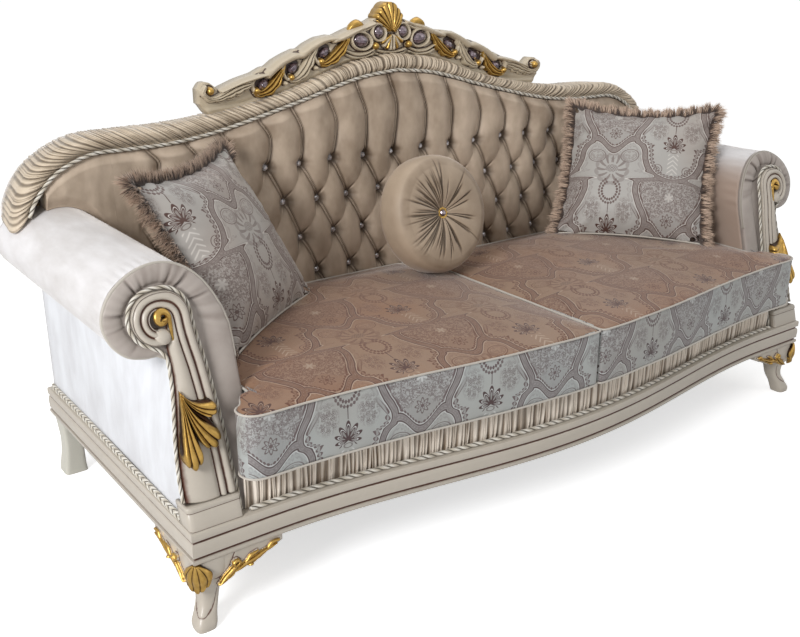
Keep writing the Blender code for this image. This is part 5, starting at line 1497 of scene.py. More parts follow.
def jewel(hub, facing, across, upward):
    """Gilt rosette with a faceted stone, at the middle of the drum."""
    turns = circle(72)
    petals = 1 + 0.12 * np.cos(turns * 9)
    rings = []
    for r, d in ((0.0165, -0.004), (0.0185, 0.002), (0.0170, 0.0055), (0.0140, 0.0068), (0.0110, 0.0050)):
        rings.append(ring_round(hub + facing * d, (r * petals)[:, None], turns, across, upward))
    rosette = loft("jewel_setting", rings)
    hollows(rosette)
    dress(rosette, "gold", body="middle_pillow")
    rings = []
    turns = circle(12)
    for r, d in ((0.0098, 0.004), (0.0098, 0.0075), (0.0078, 0.0100), (0.0045, 0.0115)):
        rings.append(ring_round(hub + facing * d, r, turns, across, upward))
    stone = loft("jewel_stone", rings, smooth=False)
    dress(stone, "gem", body="middle_pillow")


# Carved fronts of the arms

def scroll_rays():
    """Directions round the scroll's eye, from its inner side over the top, and its reach in each."""
    rays = []
    for i in range(12):
        turn = math.radians(10 + 257 * i / 11)
        reach = 0.0515 + 0.015 * max(0.0, math.cos(turn)) + 0.0055 * max(0.0, -math.cos(turn))
        rays.append((np.array((-math.cos(turn), math.sin(turn))), reach))
    return rays


def scroll_edges():
    """Outer and inner edge of the carved band, from the plinth to the curl."""
    base = PLINTH_TOP + 0.002
    rows = [(PLINTH_INNER + 0.002, base, float(facing_edge(base)), base)]
    for i, (share, across) in enumerate(FACING_ACROSS):
        z = RAIL_TOP + share * (EYE_Z - RAIL_TOP)
        far = RAIL_TOP + (share - 0.008 * max(0, i - 3)) * (EYE_Z - RAIL_TOP)
        rows.append((ARM_INNER + across * ARM_THICK, z, float(facing_edge(far)), far))
    for i, (ray, reach) in enumerate(scroll_rays()):
        rows.append((*(EYE + ray * reach), *(EYE + ray * (0.0175 + 0.004 * i / 11))))
    return curve(rows, 210)


def arm_scroll(label, side):
    rings, shades = [], []
    for edge in scroll_edges():
        outer, inner = edge[:2], edge[2:]
        width = np.linalg.norm(inner - outer)
        zone = min(0.039, 0.94 * width)
        shape = [(0.0, 0.0195, 0.4), (0.0, 0.006, 0.4), (0.01 * zone, 0.003, 0.35)]
        for start, stop in ((0.03, 0.47), (0.55, 0.91)):
            for t in np.linspace(0.0, 1.0, 7):
                arch = math.sin(math.pi * t) ** 0.55
                place = zone * (start + (stop - start) * t)
                shape.append((place, 0.0055 - 0.0060 * arch, 0.85 - 0.65 * arch))
            shape.append((zone * (stop + 0.035), 0.0075, 1.0))
        rest = width - zone
        for t in np.linspace(0.0, 1.0, 9):
            belly = 0.0030 * math.sin(math.pi * min(1.0, t * 1.1)) ** 0.8 * (rest > 0.02)
            # The band's inner edge and wall are glazed dark brown, which also stands for the shade in the
            # hollow round the gilt eye
            shade = 0.55 if t == 0.0 else 0.36 + 0.6 * float(smoothstep(t, 0.75, 1.0))
            shape.append((zone + rest * t, 0.0020 - belly + 0.015 * t ** 3.2, shade))
        shape.append((width, 0.0195, 1.0))
        ring = []
        for run, depth, _ in shape:
            x, z = outer + (inner - outer) * run / width
            ring.append((side * x, lean(z) + depth, z))
        rings.append(ring)
        shades.append([row[2] for row in shape])
    obj = loft("scroll_" + label, rings)
    darken(obj, np.array(shades).ravel())
    dress(obj, "cream", "arm_scroll_" + label)
    plinth(label, side)
    curl(label, side)
    bulb(label, side)


def plinth(label, side):
    """Block at the foot of the scroll, with a small cap moulding."""
    rows = ((0.2485, 0.0, 0.9), (0.2500, 0.0005, 0.5), (0.2850, 0.0005, 0.3), (0.2865, -0.0012, 0.95),
            (0.2885, 0.0014, 0.3), (0.2960, 0.0014, 0.3), (0.2988, 0.0002, 0.45))
    rings, shades = [], []
    outer, inner = 1.0765, PLINTH_INNER
    for z, out, shade in rows:
        front = lean(z) - 0.004 - out
        wrap = lean(z) + 0.050
        ring = [(inner + 0.001, front + 0.001), (inner + 0.004, front)]
        ring += [(x, front) for x in np.linspace(inner + 0.012, outer - 0.012, 5)]
        ring += [(outer - 0.004 + out, front + 0.0015), (outer + out, front + 0.006)]
        ring += [(outer + out, y) for y in np.linspace(front + 0.015, wrap, 4)]
        behind = lean(z) + 0.0195
        ring += [(1.0700, wrap), (1.0700, behind), (inner, behind), (inner, front + 0.006)]
        rings.append([(side * x, y, z) for x, y in ring])
        shades.append([shade] * len(ring))
    obj = loft("plinth_" + label, rings)
    darken(obj, np.array(shades).ravel())
    dress(obj, "cream")


def bulb(label, side):
    """Rounded end of the scroll's band, under the gilt eye."""
    turn = math.radians(272)
    x, z = EYE_X - math.cos(turn) * 0.0350, EYE_Z + math.sin(turn) * 0.0350
    rings = []
    for k in range(13):
        lift = math.radians(-90 + 15 * k)
        near = max(0.02, math.cos(lift))
        ring = []
        for j in range(28):
            spin = 2 * math.pi * j / 28
            px = x + math.cos(spin) * near * 0.0175
            pz = z + math.sin(spin) * near * 0.0165
            ring.append((side * px, lean(pz) + 0.0065 - math.sin(lift) * 0.0105, pz))
        rings.append(ring)
    obj = loft("scroll_bulb_" + label, rings)
    darken(obj, np.full(len(obj.data.vertices), 0.3))
    dress(obj, "cream")


def curl(label, side):
    """Gilt comma at the scroll's eye."""
    path, radii = [], []
    for k in range(40):
        t = k / 39
        turn = math.radians(205 - 330 * t)
        reach = 0.0155 * (1 - t) ** 0.8 + 0.0012
        path.append((EYE_X - 0.0035 + math.cos(turn) * reach, EYE_Z + 0.003 + math.sin(turn) * reach * 1.05))
        radii.append(0.0052 + 0.0062 * t)
    tail = [(EYE_X - 0.0195 - 0.0005 * u, EYE_Z - 0.006 - 0.040 * u) for u in np.linspace(1.0, 0.0, 12)]
    path = tail + path
    radii = list(np.linspace(0.0015, 0.0050, 12)) + radii
    rings = []
    path = np.array(path)
    along = unit(np.gradient(path, axis=0))
    for i, (x, z) in enumerate(path):
        r = radii[i]
        nx, nz = -along[i, 1], along[i, 0]
        ring = []
        for k in range(14):
            turn = 2 * math.pi * k / 14
            lift = 0.042 * math.cos(3 * turn)
            side_step = math.cos(turn) * r
            rise = math.sin(turn) * r * (0.85 + lift)
            px, pz = x + nx * side_step, z + nz * side_step
            ring.append((side * px, lean(pz) + 0.003 - rise - 0.004 * (i / len(path)), pz))
        rings.append(ring)
    obj = loft("scroll_curl_" + label, rings)
    hollows(obj)
    dress(obj, "gold", "scroll_boss_" + label)


def acanthus(label, side):
    """Gilt leaf on the scroll: three fluted lobes that sweep in and curl forward."""
    stem = np.array((EYE_X - 0.010, EYE_Z - 0.145))
    lobes = ((-11.0, 9.0, 0.156), (9.0, 35.0, 0.132), (35.0, 62.0, 0.084))
    steps, per_lobe = 60, 48
    front, back, shades = [], [], []
    for j in range(steps + 1):
        v = j / steps
        row_f, row_b, row_s = [], [], []
        for low, high, length in lobes:
            for i in range(per_lobe + 1):
                u = i / per_lobe
                flute = abs(math.cos(3.0 * math.pi * (u - 0.5))) ** 0.7
                reach = length * (0.76 + 0.24 * math.sin(math.pi * u) ** 0.6) * (0.965 + 0.035 * flute)
                angle = low + (high - low) * u
                swept = math.radians(-7.0 + (angle + 7.0) * (0.45 + 0.60 * v))
                x = stem[0] - math.sin(swept) * reach * v
                z = stem[1] - math.cos(swept) * reach * v
                notch = math.exp(-(min(u, 1 - u) / 0.055) ** 2)
                rise = 0.0075 + 0.017 * v ** 1.8 + 0.0050 * flute * min(1.0, 3 * v)
                rise -= 0.011 * notch * min(1.0, 2.5 * v)
                tip = max(0.0, (v - 0.88) / 0.12)
                rise = (rise - 0.011 * tip ** 2.5) * min(1.0, 0.25 + 5 * v)
                row_f.append((side * x, lean(z) - max(0.0010, rise), z))
                row_b.append((side * x, lean(z) + 0.0036, z))
                shade = max(0.75 * notch, 0.80 * (1 - flute) ** 1.3) * min(1.0, 2.5 * v)
                row_s.append(min(1.0, 0.22 + shade))
        front.append(row_f)
        back.append(row_b)
        shades.append(row_s)
    obj = slab_grid("acanthus_" + label, front, back)
    darken(obj, np.r_[np.array(shades).ravel(), np.full(np.array(shades).size, 0.5)])
    dress(obj, "gold", "acanthus_leaf_" + label)


def arm_ropes(label, side):
    radius = 0.0043
    clear = radius + 0.0010
    front = 0.0195 - radius
    foot = PLINTH_TOP + clear
    turn_z = EYE_Z - 0.092
    path = [(float(facing_edge(z)) + clear, z) for z in np.linspace(foot, turn_z, 7)]
    path += [(EYE_X - 0.0005, turn_z + 0.017), (EYE_X + 0.008, turn_z + 0.0275)]
    arc = [tuple(EYE + ray * (reach + clear + 0.0008)) for ray, reach in scroll_rays()]
    path += arc[-2::-1]
    for share, across in reversed(FACING_ACROSS):
        z = RAIL_TOP + share * (EYE_Z - RAIL_TOP)
        path.append((ARM_INNER + across * ARM_THICK - clear - 0.0008, z))
    for z in np.linspace(foot + 0.018, RAIL_TOP + clear, 4):
        path.append((PLINTH_INNER - clear, z))
    path = curve([(side * x, lean(z) + front, z) for x, z in path], 500)
    rope = cord("arm_rope_" + label, path, radius, lay=0.022)
    dress(rope, "cord", "arm_cord_" + label)
    radius = 0.0046
    clear = radius + 0.0002
    start = lean(RAIL_TOP) + 0.050 + clear
    run = np.linspace(start, ARM_BACK - 0.005, 40)
    knots = np.linspace(run[0], run[-1], 4)
    beside = np.interp(run, knots, [ARM_OUTER + f + clear for f in (0.0045, 0.00315, 0.0, 0.0)])
    for level, lift in (("low", 0.0), ("high", 1.85 * radius)):
        path = [(side * (x - lift * 0.12), y, RAIL_TOP + clear + lift) for x, y in zip(beside, run)]
        rope = cord("side_rope_" + level + "_" + label, path, radius, lay=0.021 if level == "low" else -0.021)
        dress(rope, "cord", "side_cord_" + label if level == "low" else None)


# Crest

CREST_HALF = 0.620
CREST_FACE = 0.347
CREST_BACK = 0.385
CREST_TOP = ((0.0, 1.206), (0.030, 1.204), (0.060, 1.190), (0.088, 1.180), (0.108, 1.178), (0.134, 1.170),
             (0.185, 1.152), (0.196, 1.156), (0.240, 1.150), (0.277, 1.135), (0.300, 1.121), (0.312, 1.122),
             (0.345, 1.111), (0.380, 1.096), (0.405, 1.079), (0.418, 1.078), (0.450, 1.064), (0.500, 1.052),
             (0.545, 1.036), (0.562, 1.029), (0.580, 1.043), (0.590, 1.051), (0.606, 1.050), (0.617, 1.038),
             (0.620, 1.030))
CREST_LOW = ((0.0, 1.112), (0.058, 1.1085), (0.166, 1.099), (0.272, 1.059), (0.371, 1.029), (0.487, 0.997),
             (0.582, 0.991), (0.620, 0.990))
ROUND_STONE = (0.044, 1.158)
OVAL_STONE = (0.106, 1.137)
DROPS = ((0.228, 1.110), (0.331, 1.073), (0.427, 1.035))
BEADS = ((0.245, 1.087), (0.343, 1.049), (0.454, 1.020))


def tilted(place, a, b, tilt):
    """Point of a tilted oval, from the place of its middle and its reach on its own two axes."""
    c, s = math.cos(math.radians(tilt)), math.sin(math.radians(tilt))
    return place[0] + a * c - b * s, place[1] + a * s + b * c


def crest_strokes():
    """Carved strokes of one half: path, half widths, rise, flutes, lobes below, gilt."""
    strokes = []
    leaves = (
        ((0.147, 1.159), (0.164, 1.131), (0.188, 1.104), (0.212, 1.087), (0.234, 1.079), (0.250, 1.082)),
        ((0.251, 1.134), (0.272, 1.104), (0.290, 1.072), (0.313, 1.050), (0.334, 1.042), (0.349, 1.045)),
        ((0.361, 1.083), (0.377, 1.057), (0.397, 1.030), (0.422, 1.014), (0.446, 1.010), (0.460, 1.015)),
    )
    for k, leaf in enumerate(leaves):
        strokes.append((leaf, (0.004, 0.011, 0.018, 0.019, 0.013, 0.006), 0.021, 3, 4, k != 1))
    for x, z in DROPS:
        rim = ((x + 0.014, z + 0.026), (x + 0.031, z + 0.016), (x + 0.037, z - 0.002), (x + 0.031, z - 0.019),
               (x + 0.021, z - 0.031))
        strokes.append((rim, (0.004, 0.006, 0.006, 0.005, 0.004), 0.017, 0, 0, False))
    end = ((0.466, 1.040), (0.505, 1.031), (0.545, 1.016), (0.575, 1.007), (0.598, 1.010), (0.611, 1.024),
           (0.606, 1.041))
    strokes.append((end, (0.007, 0.019, 0.021, 0.015, 0.010, 0.008, 0.006), 0.022, 4, 6, False))
    bands = (((0.060, 1.184), (0.092, 1.180), (0.132, 1.166), (0.170, 1.151), (0.198, 1.141)),
             ((0.190, 1.146), (0.225, 1.147), (0.265, 1.131), (0.303, 1.108)),
             ((0.303, 1.106), (0.343, 1.102), (0.380, 1.086), (0.415, 1.061)),
             ((0.412, 1.061), (0.450, 1.056), (0.505, 1.045), (0.558, 1.029)))
    for band in bands:
        full = 0.0135 if band is not bands[-1] else 0.0080
        widths = [full * t for t in (0.5, 0.95, 1.0, 0.9, 0.55)[:len(band)]]
        strokes.append((band, widths, 0.026, 0, 0, False))
    for stone, radii, tilt in ((OVAL_STONE, (0.0345, 0.0245), 10.0), (ROUND_STONE, (0.0235, 0.0235), 0.0)):
        turn = np.linspace(0.0, 2 * np.pi, 26)
        ring = np.c_[tilted(stone, radii[0] * np.cos(turn), radii[1] * np.sin(turn), tilt)]
        strokes.append((ring, [0.0042] * len(ring), 0.019, 0, 0, False))
    for drop in (0.0, 0.011):
        swag = ((0.160, 1.112 - drop), (0.130, 1.101 - drop), (0.095, 1.100 - drop), (0.066, 1.110 - drop))
        strokes.append((swag, (0.003, 0.0055, 0.0055, 0.003), 0.016, 0, 0, False))
        swag = ((0.050, 1.108 - drop), (0.026, 1.101 - drop), (0.0, 1.098 - drop), (-0.010, 1.098 - drop))
        strokes.append((swag, (0.003, 0.0050, 0.0055, 0.0055), 0.016, 0, 0, False))
    for turn, golden in ((-1.05, True), (-0.75, False), (-0.45, True), (-0.15, False)):
        foot = (0.040 * math.sin(-turn), 1.150 - 0.040 * math.cos(turn))
        strokes.append((((0.004, 1.150), foot), (0.003, 0.0062), 0.020, 0, 0, golden))
    twist = ((0.064, 1.176), (0.082, 1.168), (0.100, 1.164), (0.124, 1.160))
    strokes.append((twist, (0.003, 0.0045, 0.0045, 0.003), 0.017, 0, 0, False))
    return strokes


def raise_stroke(X, Z, lift, gilt, stroke):
    """Stroke cut into the relief where it stands above what is there."""
    path, widths, rise, flutes, lobes, golden = stroke
    share = np.linspace(0.0, 1.0, 70)
    fine = curve(path, 70) if len(path) > 2 else resample(path, 70)
    half = np.interp(share, np.linspace(0.0, 1.0, len(widths)), widths)
    along = unit(np.gradient(fine, axis=0))
    reach = half.max() * 1.4
    near = (X > fine[:, 0].min() - reach) & (X < fine[:, 0].max() + reach)
    near &= (Z > fine[:, 1].min() - reach) & (Z < fine[:, 1].max() + reach)
    px, pz = X[near], Z[near]
    gap = (px[:, None] - fine[None, :, 0]) ** 2 + (pz[:, None] - fine[None, :, 1]) ** 2
    index = gap.argmin(axis=1)
    dx, dz = px - fine[index, 0], pz - fine[index, 1]
    aside = dx * along[index, 1] - dz * along[index, 0]
    beyond = dx * along[index, 0] + dz * along[index, 1]
    t = share[index]
    wide = half[index]
    if lobes:
        tooth = 0.72 + 0.42 * np.abs(np.sin(np.pi * lobes * t)) ** 0.7
        wide = np.where(aside > 0, wide * tooth, wide * 0.95)
    u = np.sqrt(aside ** 2 + beyond ** 2 * (np.abs(beyond) > 0.001)) / wide
    crown = np.sqrt(np.clip(1.0 - u ** 2, 0.0, 1.0))
    height = rise * crown ** 0.7
    if flutes:
        spread = aside / wide * flutes * np.pi
        height = height * (0.74 + 0.26 * np.abs(np.cos(spread / 2 + 0.4)))
        height -= 0.0045 * ridge(np.cos(spread / 2 + 0.4), 0.0, 0.22) * (crown > 0)
    better = (u < 1.0) & (height > lift[near])
    where = np.flatnonzero(near.ravel())[better]
    lift.ravel()[where] = height[better]
    gilt.ravel()[where] = 1.0 if golden else 0.0


def blurred(field, rounds, own=0.0):
    """Relief softened with its neighbours, for rounds, grooves and shading."""
    field = field.copy()
    for _ in range(rounds):
        around = field[:-2, 1:-1] + field[2:, 1:-1] + field[1:-1, :-2] + field[1:-1, 2:]
        field[1:-1, 1:-1] = own * field[1:-1, 1:-1] + (1.0 - own) / 4 * around
    return field


def mostly(marks):
    """Faces of a grid that have more than half of their corners marked."""
    return (marks[:-1, :-1] + marks[1:, :-1] + marks[:-1, 1:] + marks[1:, 1:]) > 2


def crest_forward(x, above_foot):
    """How far the face stands forward, most at the middle and low down."""
    middle = 1.0 - smoothstep(np.abs(x), 0.13, 0.30)
    swollen = smoothstep(above_foot, 0.004, 0.024) * (1.0 - 0.6 * smoothstep(above_foot, 0.05, 0.11))
    return (0.004 + 0.009 * middle) * swollen


def crest_relief():
    """Carved rail: one thick board whose face is cut in relief."""
    rows, cols = 96, 861
    xs = np.linspace(-CREST_HALF, CREST_HALF, cols)
    top = np.interp(np.abs(xs), *np.array(CREST_TOP).T)
    top = np.convolve(np.pad(top, 3, mode="edge"), np.ones(7) / 7, mode="valid")
    outer = back_path(OUTER_PATH, 300)
    low = np.interp(np.abs(xs), outer[:, 0], outer[:, 1]) + 0.0008
    low = low + 0.036 * smoothstep(np.abs(xs), 0.583, 0.622) ** 1.5
    share = np.linspace(0.0, 1.0, rows)
    Z = low + (top - low) * share[:, None]
    X = np.repeat(xs[None, :], rows, axis=0)
    A = np.abs(X)
    lift = np.full(X.shape, 0.0030)
    gilt = np.zeros(X.shape)
    # Plain moulding along the foot, with a quirk over it
    foot_line = np.interp(A, *np.array(CREST_LOW).T)
    lift += 0.0040 * smoothstep(foot_line - 0.004 - Z, 0.0, 0.012)
    recess = np.zeros(X.shape)
    hollows_at = [(x + 0.004, z + 0.002, 0.030, 0.019, -38.0) for x, z in DROPS]
    hollows_at += [(*OVAL_STONE, 0.033, 0.0225, 10.0), (*ROUND_STONE, 0.0215, 0.0215, 0.0),
                   (0.590, 1.031, 0.016, 0.014, 0.0)]
    for x, z, a, b, tilt in hollows_at:
        c, s = math.cos(math.radians(tilt)), math.sin(math.radians(tilt))
        u = ((A - x) * c + (Z - z) * s) / a
        v = (-(A - x) * s + (Z - z) * c) / b
        recess = np.maximum(recess, 1.0 - smoothstep(np.hypot(u, v), 0.80, 1.05))
    lift -= 0.0050 * recess
    for stroke in crest_strokes():
        raise_stroke(A, Z, lift, gilt, stroke)
    beads = [(x, z, 0.0105) for x, z in BEADS]
    beads += [(0.593, 1.029, 0.0120), (0.060, 1.121, 0.0115), (0.262, 1.070, 0.006), (0.362, 1.034, 0.006)]
    for k, (x, z, radius) in enumerate(beads):
        r = np.hypot(A - x, Z - z) / radius
        dome = 0.0265 * np.sqrt(np.clip(1 - r ** 2, 0, 1)) ** 0.6
        better = (r < 1.0) & (dome > lift)
        lift = np.where(better, dome, lift)
        gilt = np.where(better, 1.0 if k < 5 else 0.0, gilt)
    edge = np.minimum(smoothstep(top - Z, -0.001, 0.007), smoothstep(Z - low, -0.001, 0.004))
    edge = np.minimum(edge, smoothstep(CREST_HALF - A, -0.001, 0.006))
    soft = blurred(lift * (0.30 + 0.70 * edge), 2, 0.6)
    groove = np.clip(0.34 + (blurred(soft, 10) - soft) / 0.0050, 0.0, 1.0)
    groove = np.maximum(groove, recess * (soft < 0.004))
    soft += 0.0003 * wobble_grid(X, Z, 60.0, 12)
    soft += crest_forward(A, Z - low)
    front = np.stack([X, CREST_FACE + 0.003 - soft, Z], axis=2)
    back = np.stack([X, np.full_like(X, CREST_BACK - 0.0005), Z], axis=2)
    obj = slab_grid("crest_carving", front, back)
    darken(obj, np.r_[groove.ravel(), np.full(X.size, 0.35)])
    dress(obj, ("crest", "gold"), "crest_rail")
    paint(obj, mostly(gilt))


def crest_fan():
    """Fluted gilt shell that rises to a blunt peak and leans back at its top."""
    across, along = 181, 44
    spread = math.radians(72)
    turn = np.linspace(-spread, spread, across)
    flute = np.abs(np.cos(turn / spread * 5.0 * np.pi))
    outline = ((0.0, 0.0855), (8.0, 0.0860), (12.0, 0.0820), (29.0, 0.0715), (46.0, 0.0650), (54.0, 0.0540),
               (62.0, 0.0340), (72.0, 0.0200))
    reach = np.interp(np.degrees(np.abs(turn)), *np.array(outline).T) * (0.975 + 0.025 * flute)
    v = np.linspace(0.0, 1.0, along)[:, None]
    r = 0.006 + (reach - 0.006) * v
    X = r * np.sin(turn)
    Z = 1.1565 + r * np.cos(turn)
    body = 0.026 - 0.012 * v ** 1.3 + 0.004 * np.sin(np.pi * v)
    lift = body + (flute ** 0.7 - 0.6) * 0.0075 * (0.35 + 0.65 * v) * (1.0 - 0.6 * smoothstep(v, 0.94, 1.0))
    front = np.stack([X, CREST_FACE - np.maximum(lift, 0.0), Z], axis=2)
    back = np.stack([X, np.full(X.shape, CREST_BACK - 0.003), Z], axis=2)
    obj = slab_grid("crest_shell_gilt", front, back)
    shade = np.broadcast_to(np.clip(0.88 - 0.80 * flute, 0.0, 1.0), X.shape)
    darken(obj, np.r_[shade.ravel(), np.full(shade.size, 0.3)])
    dress(obj, "gold", "crest_shell")


def crest_curls():
    """Gilt curl on each shoulder of the crest, a thick comma rolled inwards."""
    for label, side in SIDES:
        path = curve(((0.140, 1.160), (0.130, 1.173), (0.116, 1.182), (0.102, 1.182), (0.093, 1.174),
                      (0.096, 1.165), (0.104, 1.167)), 44)
        share = np.linspace(0.0, 1.0, len(path))
        radius = np.interp(share, (0.0, 0.25, 0.5, 0.75, 1.0), (0.003, 0.0095, 0.0125, 0.0085, 0.0040))
        along = unit(np.gradient(path, axis=0))
        turns = circle(20)
        rings = []
        for (x, z), (ax, az), r in zip(path, along, radius):
            rib = 1.0 + 0.06 * np.cos(turns * 6)
            wide = r * rib * np.cos(turns)
            deep = CREST_FACE + 0.004 + 1.5 * r * rib * np.sin(turns)
            rings.append(np.c_[side * (x + wide * az), deep, z - wide * ax])
        obj = loft("crest_curl_" + label, rings)
        hollows(obj)
        dress(obj, "gold")


def crest_stones():
    """Round and oval stones as smooth domes, the drops cut with facets."""
    outer = back_path(OUTER_PATH, 300)
    for label, side in SIDES:
        stones = [("round", ROUND_STONE, (0.0195, 0.0195), 0.0, 28)]
        stones += [("oval", OVAL_STONE, (0.0290, 0.0195), 10.0, 32)]
        stones += [("drop_" + str(k + 1), place, (0.0180, 0.0125), -42.0, 9) for k, place in enumerate(DROPS)]
        for kind, (x, z), radii, tilt, sides in stones:
            smooth = sides > 12
            tall = 0.0215 if smooth else 0.0150
            foot = float(np.interp(x, outer[:, 0], outer[:, 1]))
            face = CREST_FACE + 0.004 - float(crest_forward(x, z - foot))
            levels = [(math.cos(t), math.sin(t)) for t in np.linspace(0.0, 1.45, 9)] if smooth else \
                [(1.0, 0.0), (1.0, 0.35), (0.86, 0.62), (0.52, 0.95), (0.0001, 1.0)]
            rings = []
            for scale, rise in [(0.96, -0.3)] + levels:
                ring = []
                for k in range(sides):
                    t = 2 * math.pi * k / sides
                    a, b = radii[0] * scale * math.cos(t), radii[1] * scale * math.sin(t)
                    px, pz = tilted((x, z), a, b, tilt)
                    ring.append((side * px, face - tall * rise, pz))
                rings.append(ring)
            obj = loft("stone_" + kind + "_" + label, rings, smooth)
            dress(obj, "gem", "crest_gem_" + kind + "_" + label)


# Legs and rails

RAIL_HALF = 1.080
RAIL_FRONT = -0.460
RAIL_BACK = 0.460
RAIL_LOW = 0.173
LEG_TOP = 0.1727
RAIL_DEPTH = 0.070
KNEE_EDGE = ((0.000, 0.112), (0.040, 0.110), (0.059, 0.1036), (0.087, 0.1157), (0.115, 0.126), (0.143, 0.126),
             (0.1625, 0.140), (0.190, 0.146), (0.215, 0.158))
FRONT_LEG = ((0.0, 0.0, 0.046), (0.08, 0.0, 0.050), (0.20, 0.010, 0.045), (0.335, 0.020, 0.044),
             (0.49, 0.020, 0.050), (0.625, 0.012, 0.064), (0.765, 0.003, 0.084), (1.0, 0.003, 0.094))
BACK_LEG = ((0.0, 0.004, 0.064), (0.12, 0.006, 0.060), (0.32, 0.011, 0.054),
            (0.55, 0.013, 0.052), (0.78, 0.010, 0.060), (1.0, 0.006, 0.076))


def leg_post(name, side, profile, depth_side, square):
    """Shaped post; on a front leg a brown line runs down the shin and back up."""
    levels = 90
    share = np.linspace(0.0, 1.0, levels)
    smooth = curve(profile, 400)
    inset = np.interp(share, smooth[:, 0], smooth[:, 1])
    width = np.interp(share, smooth[:, 0], smooth[:, 2])
    sides = 72
    turns = np.linspace(-np.pi, np.pi, sides, endpoint=False)
    rings, shades = [], []
    corner_y = RAIL_FRONT if depth_side < 0 else RAIL_BACK
    for s, i, w in zip(share, inset, width):
        half = w / 2
        z = s * LEG_TOP
        power = 2.0 / square
        # Turn zero looks out along the diagonal of the corner
        c, n = np.cos(turns + np.pi / 4), np.sin(turns + np.pi / 4)
        a = np.sign(c) * np.abs(c) ** power * half
        b = np.sign(n) * np.abs(n) ** power * half
        shade = np.full(sides, 0.33)
        if depth_side < 0:
            line = 0.030 + 0.072 * (np.abs(turns) / 1.15) ** 5
            slope = 0.072 * 5 * (np.abs(turns) / 1.15) ** 4 / (1.15 * 0.024)
            d = np.abs(z - line) / np.sqrt(1 + slope ** 2)
            groove = np.exp(-(d / 0.0016) ** 2) * (z < 0.098)
            inside = (z > line) & (z < 0.098)
            a, b = a * (1 - 0.06 * groove + 0.02 * inside), b * (1 - 0.06 * groove + 0.02 * inside)
            shade = shade + 0.62 * groove
        cx = side * (RAIL_HALF - i - half)
        cy = corner_y - depth_side * (i + half)
        rings.append(np.c_[cx + side * a, cy + depth_side * b, np.full(sides, z)])
        shades.append(shade)
    obj = loft(name, rings)
    darken(obj, np.array(shades).ravel())
    return obj


def knee_strokes():
    """Leaf sprays along a bracket: distance from the corner and height."""
    return (
        (((0.052, 0.106), (0.068, 0.117), (0.088, 0.131), (0.106, 0.146)),
         (0.004, 0.0105, 0.0115, 0.004), 0.013, 2, 3, True),
        (((0.106, 0.146), (0.098, 0.152), (0.090, 0.147), (0.092, 0.140)),
         (0.0035, 0.0050, 0.0050, 0.004), 0.014, 0, 0, True),
        (((0.094, 0.126), (0.116, 0.134), (0.142, 0.139), (0.166, 0.149), (0.196, 0.157)),
         (0.004, 0.0085, 0.0085, 0.006, 0.003), 0.011, 2, 4, True),
        (((0.120, 0.140), (0.134, 0.150), (0.150, 0.157)), (0.003, 0.0055, 0.002), 0.010, 0, 0, True),
        (((0.172, 0.150), (0.188, 0.162), (0.203, 0.163)), (0.003, 0.0055, 0.003), 0.009, 0, 0, True),
    )


def knee_bracket(name, label, side, along_front):
    """Bracket beside a front leg with gilt sprays in relief."""
    cols, rows = 220, 70
    ss = np.linspace(0.030, 0.2145, cols)
    low = np.interp(ss, *np.array(KNEE_EDGE).T)
    low = np.convolve(np.pad(low, 4, mode="edge"), np.ones(9) / 9, mode="valid")
    share = np.linspace(0.0, 1.0, rows)[:, None]
    Z = low + (LEG_TOP - low) * share
    S = np.repeat(ss[None, :], rows, axis=0)
    lift = np.full(S.shape, 0.0015)
    gilt = np.zeros(S.shape)
    line = curve(((0.026, 0.160), (0.032, 0.136), (0.050, 0.122), (0.072, 0.128), (0.086, 0.146),
                  (0.096, 0.168)), 80)
    d = np.min(np.hypot(S[..., None] - line[:, 0], Z[..., None] - line[:, 1]), axis=2)
    groove = np.exp(-(d / 0.0018) ** 2)
    lift -= 0.0015 * groove
    for stroke in knee_strokes():
        raise_stroke(S, Z, lift, gilt, stroke)
    r = np.hypot(S - 0.131, Z - 0.127) / 0.0075
    dome = 0.014 * np.sqrt(np.clip(1 - r ** 2, 0, 1)) ** 0.7
    gilt = np.where(dome > lift, 1.0, gilt)
    lift = np.maximum(lift, dome)
    edge = np.minimum(smoothstep(Z - low, -0.0005, 0.003), smoothstep(0.2145 - S, -0.0005, 0.003))
    lift = lift * (0.35 + 0.65 * edge)
    shade = np.clip(0.33 + (blurred(lift, 8) - lift) / 0.0030 + 0.6 * groove * (gilt < 0.5), 0.0, 1.0)
    out = 0.0060 - lift
    if along_front:
        front = np.stack([side * (RAIL_HALF - S), RAIL_FRONT + out, Z], axis=2)
        back = np.stack([side * (RAIL_HALF - S), np.full_like(S, RAIL_FRONT + 0.036), Z], axis=2)
    else:
        front = np.stack([side * (RAIL_HALF - out), RAIL_FRONT + S, Z], axis=2)
        back = np.stack([np.full_like(S, side * (RAIL_HALF - 0.036)), RAIL_FRONT + S, Z], axis=2)
    obj = slab_grid(name + label, front, back)
    darken(obj, np.r_[shade.ravel(), np.full(S.size, 0.35)])
    dress(obj, ("cream", "gold"))
    paint(obj, mostly(gilt))


